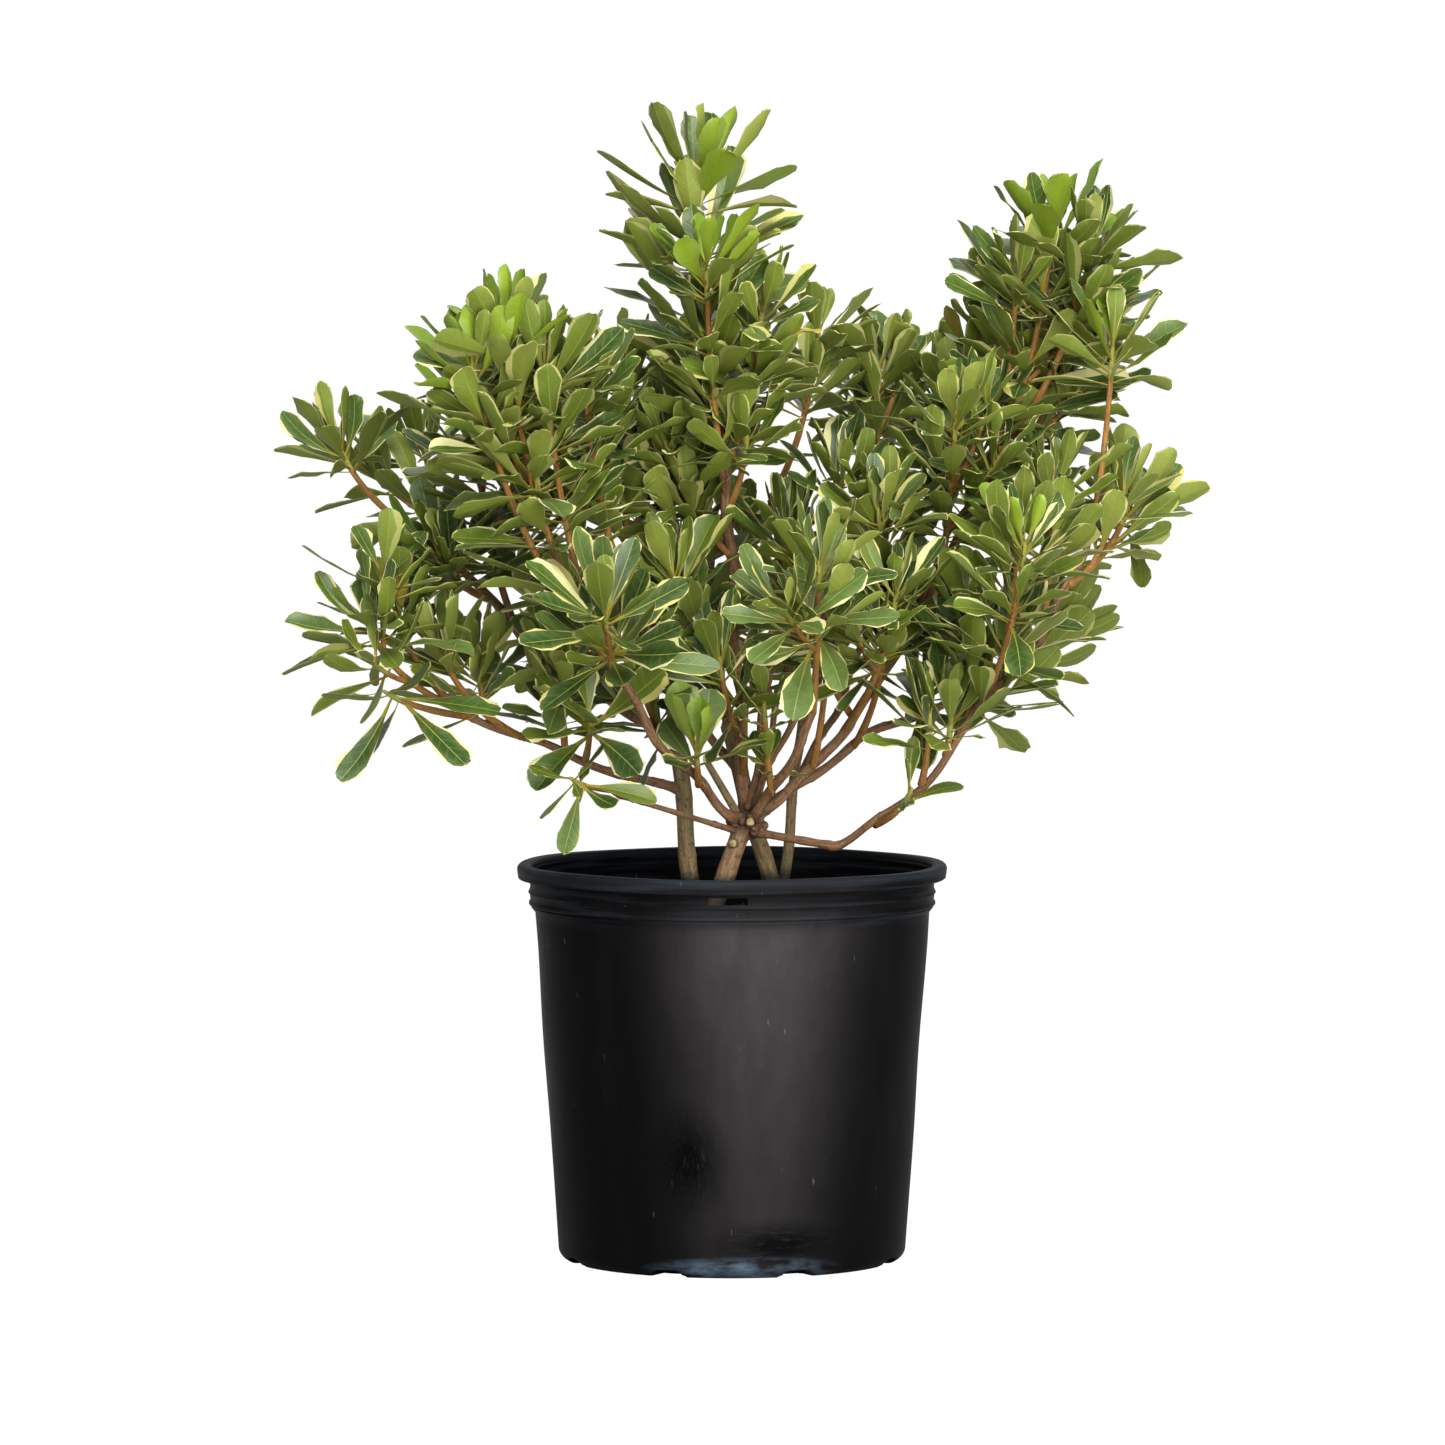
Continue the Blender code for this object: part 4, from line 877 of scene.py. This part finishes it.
def leafPart(leaves, dice):
    # ring of ten points at each row: left edge, margin, rib, rib, margin, right edge, and four below them
    count = len(leaves)
    root, along, upper, length, bend, widening = (
        np.array([leaf[key] for leaf in leaves]) for key in ("root", "along", "upper", "length", "bend", "broad"))
    v, outline = np.array(leafShape["rows"]), np.array(leafShape["outline"])
    broad = length * leafShape["width"] * 0.5 * dice.uniform(0.8, 1.18, count) * widening
    half = np.maximum(outline[None] * broad[:, None], leafShape["petioleHalf"])
    # across the blade: shares of the half width, the edges a little uneven
    low, high = leafShape["marginShare"]
    firstNoise, lastNoise = leafShape["marginNoise"]
    uneven = (firstNoise + (lastNoise - firstNoise) * v ** 2)[None, :, None]
    margin = dice.uniform(low, high, (count, 1, 2)) + dice.normal(0, 1, (count, len(v), 2)) * uneven
    wide = dice.random((count, 1, 2)) < 0.1
    margin = np.clip(np.where(wide, margin - dice.uniform(0.2, 0.5, (count, 1, 2)), margin), 0.3, 0.985)
    rib = np.clip(leafShape["ribHalf"] * (1.25 - v)[None] / half, 0.03, 0.45)
    margin = np.maximum(margin, rib[..., None] + 0.05)
    edges = 1 + dice.normal(0, leafShape["edgeNoise"], (count, len(v), 2)) * (v > 0.3)[None, :, None]
    s = np.stack([-edges[..., 0], -margin[..., 0], -rib, rib, margin[..., 1], edges[..., 1],
                  margin[..., 1], rib, -rib, -margin[..., 0]], axis=-1)
    # middle line: the leaf turns away from its upper face by a growing share of its bend. The tip's middle
    # runs on past its corners
    turned = bend[:, None] * v[None] ** 1.2
    step = np.diff(v, prepend=0.0)[None] * length[:, None]
    between = np.concatenate([turned[:, :1], (turned[:, 1:] + turned[:, :-1]) / 2], axis=1)
    ahead = np.cumsum(step * np.cos(between), axis=1)
    fall = np.cumsum(step * np.sin(between), axis=1)
    middle = root[:, None] + along[:, None] * ahead[..., None] - upper[:, None] * fall[..., None]
    tangent, normal = turnPair(along[:, None], upper[:, None], -turned[..., None])
    roll = np.radians(dice.normal(0, leafShape["rollDegrees"], count))[:, None] * np.minimum(v / 0.35, 1.0)[None]
    sideRoll, normal = turnPair(np.cross(along, upper)[:, None], normal, roll[..., None])
    tipward = leafShape["tipRound"] * dice.uniform(0.2, 1.2, (count, 1, 1)) * (1 - s ** 2) * (v > 0.95)[None, :, None]
    tipward = tipward + dice.normal(0, 0.007, s.shape) * (v > 0.7)[None, :, None]
    fold = np.radians(dice.uniform(*leafShape["foldDegrees"], count))[:, None, None]
    curl = leafShape["curl"] * dice.uniform(-0.4, 1.0, count)[:, None, None]
    across = s * half[..., None]
    lift = np.abs(across) * np.tan(fold) - curl * half[..., None] * s ** 4
    phase = anyTurn(dice, (count, 1, 1)) + np.where(s < 0, 1.9, 0.0)
    wave = leafShape["waveHeight"] * dice.uniform(0.0, 1.0, (count, 1, 1))
    lift = lift + wave * np.sin(v[None, :, None] * 15 + phase) * s ** 2 * (v > 0.3)[None, :, None]
    below = np.array([0, 0, 0, 0, 0, 0, 0.7, 1.0, 1.0, 0.7])
    lift = lift - below * leafShape["thickness"] * (1.3 - 0.6 * v)[None, :, None]
    points = (middle[:, :, None] + tangent[:, :, None] * (tipward * length[:, None, None])[..., None]
              + sideRoll[:, :, None] * across[..., None] + normal[:, :, None] * lift[..., None])
    return assembleLeaves(points, leaves, v, dice)


def foldAlike(cells, ring):
    # the underside's quads start one corner on, so that both faces fold along the same diagonal
    rows = cells.reshape(-1, ring, *cells.shape[1:])
    rows[:, 5:] = np.roll(rows[:, 5:], -1, axis=2)
    return rows.reshape(cells.shape)


def assembleLeaves(points, leaves, v, dice):
    # quads row by row round each leaf, a cap at its foot and at its tip, and the finish of every face
    count, rowCount, ring = points.shape[:3]
    base = (np.arange(count) * rowCount * ring)[:, None, None]
    ends = np.stack([np.arange(ring)[::-1], (rowCount - 1) * ring + np.arange(ring)])
    number = {name: index for index, name in enumerate(leafTones)}
    tint = np.array([leaf["tint"] for leaf in leaves])
    # the four tops and the four unders stand together in the table of tones
    top, under = (number[first] + np.where(dice.random(count) < deal["shootTone"], tint, dice.integers(0, 4, count))
                  for first in ("topDeep", "under0"))
    fresh = np.array([leaf["fresh"] * (1.15 - leaf["share"]) for leaf in leaves]) > dice.random(count) * 0.9 + 0.12
    old = dice.random(count) < deal["old"]
    top = np.where(old, number["oldLeaf"], np.where(fresh, number["freshTop"], top))
    under = np.where(old, number["oldLeaf"], np.where(fresh, number["freshUnder"], under))
    cream = np.where(dice.random(count) < deal["paleCream"], number["cream"], number["creamWarm"])
    underEdge = np.where(dice.random(count) < deal["paleUnderEdge"], number["underEdge"], number["dullEdge"])
    cream, underEdge, rib = (np.where(fresh, number["freshUnder"], tone) for tone in (cream, underEdge, number["rib"]))
    finish = np.empty((count, rowCount - 1, ring), int)
    finish[:] = np.stack([cream, top, rib, top, cream, underEdge, under, rib, under, underEdge], axis=1)[:, None]
    finish[:, 0] = number["petiole"]
    corners = foldAlike(gridCorners(rowCount, ring, v), ring)
    return {"points": points.reshape(-1, 3), "quadsFinish": finish.reshape(-1),
            "quads": (foldAlike(gridQuads(rowCount, ring), ring)[None] + base).reshape(-1, 4),
            "quadsPlaces": np.broadcast_to(corners[None], (count, *corners.shape)).reshape(-1, 4, 2),
            "caps": (ends[None] + base).reshape(-1, ring),
            "capsFinish": np.stack([np.full(count, number["petiole"]), underEdge], axis=1).ravel()}


def shootParts(grown, dice):
    # twigs are green at the tip, then orange, then brown, and thin towards the bud
    parts = []
    for shoot in grown:
        rings = max(6, int(shoot["length"] / shoots["ringGap"]))
        shares = np.linspace(0.0, 1.0, rings)
        middle = bendPoint(shoot["line"], shares)
        radius = barkRadius(shoot["length"], shares, shoot["radii"], shoots["sides"], dice, 0.7)
        down = (1 - shares) * shoot["length"]
        radius *= (1 - shoots["budThin"] * np.exp(-down / shoots["budLength"]))[:, None]
        tone = np.where(down < shoots["youngTo"], 0, np.where(down < shoots["orangeTo"], 1, 2))
        parts.append(tubePart(middle, radius, tone))
    return parts


# parts of the crown: how far to the left and to the right their leaders' apexes lie
crownParts = {"Left": (-9.0, -0.12), "Right": (0.12, 9.0), "Middle": (-9.0, 9.0)}


def addFoliage(lines):
    # grown once, then dealt out to three parts of the crown by where each leader ends
    dice = np.random.default_rng(5)
    grown = growShoots(lines, dice)
    leaves = seatLeaves(growLeaves(grown, dice), grown, lines, dice)
    print("shoots:", len(grown), "leaves:", len(leaves))
    finishes = [leafFinish(name, tone) for name, tone in leafTones.items()]
    left = {**masses, **fillers}
    shootFinishes = [barkFinish(name) for name in ("shoot_young", "shoot_orange", "shoot_brown")]
    for part, (low, high) in crownParts.items():
        owned = [name for name, row in left.items() if low < row["apex"][0] < high]
        left = {name: row for name, row in left.items() if name not in owned}
        blades = leafPart([leaf for leaf in leaves if leaf["mass"] in owned], dice)
        piece = joinPiece("leaves" + part, [blades], finishes, 50)
        settle(piece, "foliage", *[name for name in owned if name in masses])
        twigs = shootParts([shoot for shoot in grown if shoot["mass"] in owned], dice)
        settle(joinPiece("shoots" + part, twigs, shootFinishes), "bough_bark")


# pot: turned black plastic with a rolled lip, a stepped collar, slots under the lip and notches in its foot
pot = {
    "height": 0.305, "steps": 288, "wall": 0.002, "floor": 0.0024,
    "lipRadius": 0.165, "lipDrop": 0.011, "collarRadius": 0.1555, "collarFoot": 0.0345,
    "bodyRadius": 0.1515, "footRadius": 0.1335, "footRound": 0.01,
    "slotTurns": (0.747, 0.0, 0.5), "slotSteps": 9, "slotHigh": 0.29125, "slotLow": 0.28575,
    "notchCount": 8, "notchHalf": 0.0135, "notchHeight": 0.0062, "notchDepth": 0.024, "notchBlend": 0.004,
    "insideRings": (0.299, 0.293, 0.279, 0.269), "ringHeight": 0.0006,
}


def arcPoints(centre, radius, start, end, count):
    # part of a circle in the pot's section, angles in degrees
    turns = np.radians(np.linspace(start, end, count))
    return np.stack([centre[0] + radius * np.cos(turns), centre[1] + radius * np.sin(turns)], axis=1)


def potSection():
    # up the inside, over the lip, down the outside, in under the foot
    top, step = pot["height"], pot["height"] - pot["collarFoot"]
    wall, floor = pot["wall"], pot["floor"]
    foot, rounding = pot["footRadius"], pot["footRound"]
    collar, lip, body = pot["collarRadius"], pot["lipRadius"], pot["bodyRadius"]
    inner = collar - wall
    high, low = pot["slotHigh"], pot["slotLow"]
    heights = sorted([step + 0.006, step + 0.0095, low, high, top - 0.0045]
                     + [ring + offset for ring in pot["insideRings"] if ring > step + 0.007
                        for offset in (-0.0014, 0.0, 0.0014)])
    rings = np.array(pot["insideRings"])
    inside = [(inner - pot["ringHeight"] * float(np.any(np.abs(rings - z) < 0.0002)), z) for z in heights]
    return np.concatenate([
        [(0.0, floor), (0.04, floor), (0.08, floor), (foot - rounding - wall, floor)],
        arcPoints((foot - rounding - wall, rounding + floor), rounding, -75, 0, 6),
        [(foot - wall + (body - foot) * share, rounding + floor + (step - rounding - floor) * share)
         for share in np.linspace(0.1, 0.97, 14)],
        [(body - wall, step - 0.001), (inner - 0.0006, step + 0.003)],
        inside,
        arcPoints((inner + 0.0036, top - 0.0036), 0.0036, 180, 90, 7),
        arcPoints((lip - 0.0038, top - 0.0038), 0.0038, 90, 0, 9),
        [(lip - 0.0003, top - 0.007), (lip - 0.0007, top - 0.0092)],
        arcPoints((lip - 0.0018, top - pot["lipDrop"] + 0.0011), 0.0011, 0, -180, 7),
        [(lip - 0.003, top - 0.006), (collar + 0.0012, top - 0.0052)],
        [(collar, top - 0.0075), (collar, top - 0.011), (collar, high), (collar, low)],
        [(collar + 0.0001, low - 0.0012), (collar + 0.0008, low - 0.002), (collar + 0.0009, low - 0.0027),
         (collar + 0.0001, low - 0.0036), (collar - 0.0004, low - 0.006)],
        [(collar - 0.0006, step + 0.0064), (collar + 0.0004, step + 0.0055)],
        arcPoints((collar - 0.0008, step + 0.0042), 0.0014, 40, -60, 6),
        [(collar - 0.0016, step + 0.0022), (collar - 0.0012, step + 0.0012)],
        [(body + (foot - body) * share, step + (rounding - step) * share)
         for share in np.linspace(0.01, 1.0, 34)],
        arcPoints((foot - rounding, rounding), rounding, -12, -90, 9),
        [(foot - 0.018, 0.0), (foot - 0.024, 0.0), (foot - 0.028, 0.0), (0.06, 0.0), (0.03, 0.0), (0.0, 0.0)],
    ])


def slotBridge(section, steps):
    # the quads that each slot takes out of the two walls of the collar, and the ring of quads that lines it
    dropped, lining = [], []
    (inLow, outLow), (inHigh, outHigh) = (np.flatnonzero(np.abs(section[:, 1] - pot[edge]) < 1e-7) - 1
                                          for edge in ("slotLow", "slotHigh"))
    for turn in pot["slotTurns"]:
        first = round(steps * turn - pot["slotSteps"] / 2 - 0.5)
        columns = (first + np.arange(pot["slotSteps"] + 1)) % steps
        dropped += [inLow * steps + columns[:-1], outHigh * steps + columns[:-1]]
        outer = np.concatenate([outLow * steps + columns, outHigh * steps + columns[::-1]])
        inner = np.concatenate([inLow * steps + columns, inHigh * steps + columns[::-1]])
        lining.append(np.stack([inner, np.roll(inner, -1), np.roll(outer, -1), outer], axis=1))
    return np.concatenate(dropped), np.concatenate(lining)


def addPot():
    # the section turned round the upright: radius times the turn's cosine and sine
    section = potSection()
    rows, steps = len(section), pot["steps"]
    turn = (np.arange(steps) + 0.5) / steps * 2.0 * math.pi
    radius, height = section[:, 0][:, None], section[:, 1][:, None]
    # the plastic is a little out of true: the wall wavers by a few tenths of a millimetre
    waver = 0.0004 * np.sin(3 * turn + height * 30) + 0.0002 * np.sin(7 * turn - height * 51 + 1.0)
    body = np.clip((height - 0.012) / 0.05, 0, 1) * np.clip((0.296 - height) / 0.05, 0, 1)
    rim = np.clip((height - 0.28) / 0.02, 0, 1)
    notchEnd, blend = pot["footRadius"] - pot["notchDepth"], pot["notchBlend"]
    notch = notchHeights(turn)[None, :] * np.clip((radius - (notchEnd - blend)) / blend, 0, 1)
    isOutside = (np.arange(rows) > rows // 2)[:, None]
    raised = np.where(isOutside, notch, notch + pot["floor"] * (notch > 0))
    radius = radius + waver * body
    height = np.maximum(height + 0.0004 * np.sin(5 * turn + 0.7) * rim, np.where(height < 0.02, raised, 0.0))
    points = np.stack([radius * np.cos(turn), radius * np.sin(turn), height + 0 * turn], axis=-1)
    points = np.concatenate([points[1:-1].reshape(-1, 3), [[0.0, 0.0, pot["floor"]], [0.0, 0.0, 0.0]]])
    dropped, lining = slotBridge(section, steps)
    quads = np.concatenate([np.delete(gridQuads(rows - 2, steps), dropped, axis=0), lining])[:, ::-1]
    shell = {"points": points, "quads": quads, "caps": poleCaps(rows - 2, steps)}
    settle(joinPiece("potShell", [shell], [potFinish()], 40), "pot", "pot")


def notchHeights(turn):
    # a flat arch at each notch, nought between them
    gap = 2 * math.pi / pot["notchCount"]
    away = turn % gap - gap / 2
    across = np.abs(away) * pot["footRadius"] / pot["notchHalf"]
    return pot["notchHeight"] * np.clip(1 - across ** 4, 0, 1) ** 0.5


# marks on the pot's wall: the way that dust and a broad painted highlight face, and two patches wiped clean of it with
# their middle and reach
dustAndHighlight = {"heading": (0.14, -0.99, 0.0), "from": 0.098, "to": 0.149, "share": 0.98, "rimShare": 0.22}
wipes = (
    {"middle": (0.038, -0.134, 0.026), "reach": (0.052, 0.05, 0.019), "strokes": (4.0, 4.0, 24.0)},
    {"middle": (-0.034, -0.138, 0.09), "reach": (0.03, 0.045, 0.044), "strokes": (34.0, 34.0, 9.0)},
)
# painted sheen low on the front of the foot: its middle, reach and bluish tone
footPaintedSheen = {"middle": (0.01, -0.132, 0.006), "reach": (0.085, 0.06, 0.012), "tone": (76, 92, 108)}


def nearness(nodes, spot, inner, outer):
    # 1 in the middle of a stretched ball, 0 outside it
    stretch = tuple(1.0 / reach for reach in spot["reach"])
    middle = tuple(part / reach for part, reach in zip(spot["middle"], spot["reach"]))
    return nodes.grey(nodes.distance(nodes.place(stretch), middle), 1.0, 0.0, inner, outer)


def potFinish():
    # black plastic: a thin film of dust, with a broad soft painted highlight at the front, pale scuffs, dark wiped
    # patches low down, a painted bluish sheen at the foot
    nodes = plainFinish("blackPlastic", hue(8, 8, 9), 0.4, 0.02)
    own = nodes.place()
    film = nodes.noise(nodes.place((1.0, 1.0, 0.3)), 8.0, 5.0, 0.6)
    colour = nodes.ramp(film, (0.36, 0.56, 0.74), (hue(6, 6, 7), hue(9, 9, 10), hue(19, 18, 19)))
    # dust gathers where the wall faces the heading, and there it is also a broad painted highlight, lighter at the
    # front
    facing = nodes.times(own, dustAndHighlight["heading"], "DOT_PRODUCT", "VectorMath")
    front = nodes.grey(facing, 0.0, dustAndHighlight["share"], dustAndHighlight["from"], dustAndHighlight["to"])
    mottled = nodes.grey(nodes.noise(nodes.place((1.0, 1.0, 0.35)), 42.0, 7.0, 0.7), 0.66, 1.0, 0.3, 0.66)
    height = nodes.height(own)
    belowRim = nodes.grey(height, 1.0, dustAndHighlight["rimShare"], 0.266, 0.28)
    cubed = nodes.times(nodes.times(front, front), front)
    colour = nodes.mix(nodes.times(nodes.times(cubed, mottled), belowRim), colour, hue(57, 54, 55))
    # a little bluish light caught along the collar, the lip and the hoops inside
    hoops = nodes.grey(nodes.noise(nodes.place((0.05, 0.05, 1.0)), 210.0, 3.0), 0.0, 0.4, 0.46, 0.74)
    high = nodes.grey(height, 0.0, 1.0, 0.262, 0.27)
    colour = nodes.mix(nodes.times(hoops, high), colour, hue(34, 41, 48))
    glint = nodes.times(nodes.grey(height, 0.0, 0.3, 0.2975, 0.302), hoops, "ADD")
    colour = nodes.mix(nodes.times(glint, high), colour, hue(38, 44, 50))
    scratch = nodes.noise(nodes.place((1.0, 1.0, 0.22)), 190.0, 2.0)
    colour = nodes.mix(nodes.grey(scratch, 0.0, 0.5, 0.73, 0.79), colour, hue(88, 90, 96))
    for spot in wipes:
        rubbed = nodes.grey(nodes.noise(nodes.place(spot["strokes"]), 17.0, 6.0, 0.7), 0.0, 1.0, 0.3, 0.48)
        colour = nodes.mix(nodes.times(rubbed, nearness(nodes, spot, 0.25, 1.15)), colour, hue(5, 5, 6))
    # painted sheen: a bluish band of painted light along the front of the foot
    paintedSheen = nodes.grey(nodes.noise(nodes.place((1.0, 1.0, 3.0)), 34.0, 4.0), 0.0, 0.75, 0.4, 0.6)
    paintedSheen = nodes.times(paintedSheen, nearness(nodes, footPaintedSheen, 0.4, 1.0))
    nodes.give("Base Color", nodes.mix(paintedSheen, colour, hue(*footPaintedSheen["tone"])))
    nodes.give("Roughness", nodes.grey(film, 0.34, 0.5, 0.3, 0.75))
    nodes.bump(nodes.noise(own, 1500.0, 2.0), 0.3, 0.0003)
    return nodes.owner


# potting mix: an uneven crumbly top with chips of bark and white grains
soil = {"radius": 0.1484, "top": 0.26, "rings": 120, "steps": 220, "chips": 900, "grains": 260}


def addSoil():
    # the top is a sum of sines in every direction, each octave finer and lower than the last, with a skirt below
    dice = np.random.default_rng(23)
    rings, steps = soil["rings"], soil["steps"]
    out = np.linspace(0.0, 1.0, rings) ** 0.8 * soil["radius"]
    turn = circle(steps)
    x, y = out[:, None] * np.cos(turn), out[:, None] * np.sin(turn)
    height = np.zeros_like(x)
    for octave in range(5):
        frequency = 60 * 1.9 ** octave
        for _ in range(5):
            way = anyTurn(dice)
            across = x * math.cos(way) + y * math.sin(way)
            height += 0.0016 / 1.7 ** octave * np.sin(frequency * across + anyTurn(dice)) / 2.2
    height = soil["top"] - 0.001 + height * 0.8
    points = np.stack([x, y, height], -1)
    points[0] = points[0].mean(axis=0)
    skirt = points[-1:].copy()
    skirt[..., :2] *= 0.97
    skirt[..., 2] = soil["top"] - 0.03
    points = np.concatenate([points[1:], skirt])
    poles = [[0.0, 0.0, soil["top"] - 0.001], [0.0, 0.0, soil["top"] - 0.03]]
    surface = {"points": np.concatenate([points.reshape(-1, 3), poles]), "quads": gridQuads(rings, steps)[:, ::-1],
               "caps": poleCaps(rings, steps)}
    parts = [surface, scatter(dice, soil["chips"], (0.0022, 0.0075), (1.0, 0.55, 0.28), 1),
             scatter(dice, soil["grains"], (0.0012, 0.0026), (1.0, 0.9, 0.8), 2)]
    finishes = [crumbFinish(name, *row) for name, row in soilTones.items()]
    settle(joinPiece("pottingMix", parts, finishes, 45), "potting_mix", "soil")


def scatter(dice, count, sizes, flat, finish):
    # six-cornered crumbs: an octahedron with jittered corners, turned at random and half sunk
    corners = np.array([(1, 0, 0), (-1, 0, 0), (0, 1, 0), (0, -1, 0), (0, 0, 1), (0, 0, -1)], float)
    faces = np.array([(0, 2, 4), (2, 1, 4), (1, 3, 4), (3, 0, 4), (2, 0, 5), (1, 2, 5), (3, 1, 5), (0, 3, 5)])
    size = dice.uniform(*sizes, count)
    shape = corners[None] * np.array(flat) * size[:, None, None] * dice.uniform(0.6, 1.1, (count, 6, 1))
    turn, lean = anyTurn(dice, (count, 1)), dice.normal(0, 0.35, (count, 1))
    x, z = turnPair(shape[..., 0], shape[..., 2], -lean)
    turned = np.stack([*turnPair(x, shape[..., 1], -turn), z], -1)
    out = np.sqrt(dice.random(count)) * (soil["radius"] - 0.007)
    around = anyTurn(dice, count)
    place = np.stack([out * np.cos(around), out * np.sin(around), np.full(count, soil["top"])], -1)
    allFaces = (faces[None] + (np.arange(count) * 6)[:, None, None]).reshape(-1, 3)
    return {"points": (turned + place[:, None]).reshape(-1, 3), "caps": allFaces, "capsFinish": finish}


soilTones = {
    "crumbledMix": (420.0, (26, 19, 14), (54, 40, 29), (92, 70, 50)),
    "barkChip": (600.0, (42, 26, 17), (74, 48, 30), (108, 76, 50)),
    "whiteGrain": (900.0, (168, 164, 150), (212, 208, 196), (232, 230, 220)),
}


def crumbFinish(name, scale, dark, main, light):
    # dull crumbs: three tones in fine noise that is also the relief
    nodes = plainFinish(name, hue(*main), 0.95, 0.15)
    crumbs = nodes.noise(nodes.place(), scale, 6.0, 0.7)
    nodes.give("Base Color", nodes.ramp(crumbs, (0.32, 0.52, 0.72), (hue(*dark), hue(*main), hue(*light))))
    nodes.bump(crumbs, 0.9, 0.002)
    return nodes.owner


bpy.context.scene.view_settings.view_transform = "Standard"
addCamera()
addStudio()
lines = limbLines()
addPot()
addSoil()
addLimbs(lines)
print("pot and limbs made")
addFoliage(lines)
print("foliage made")
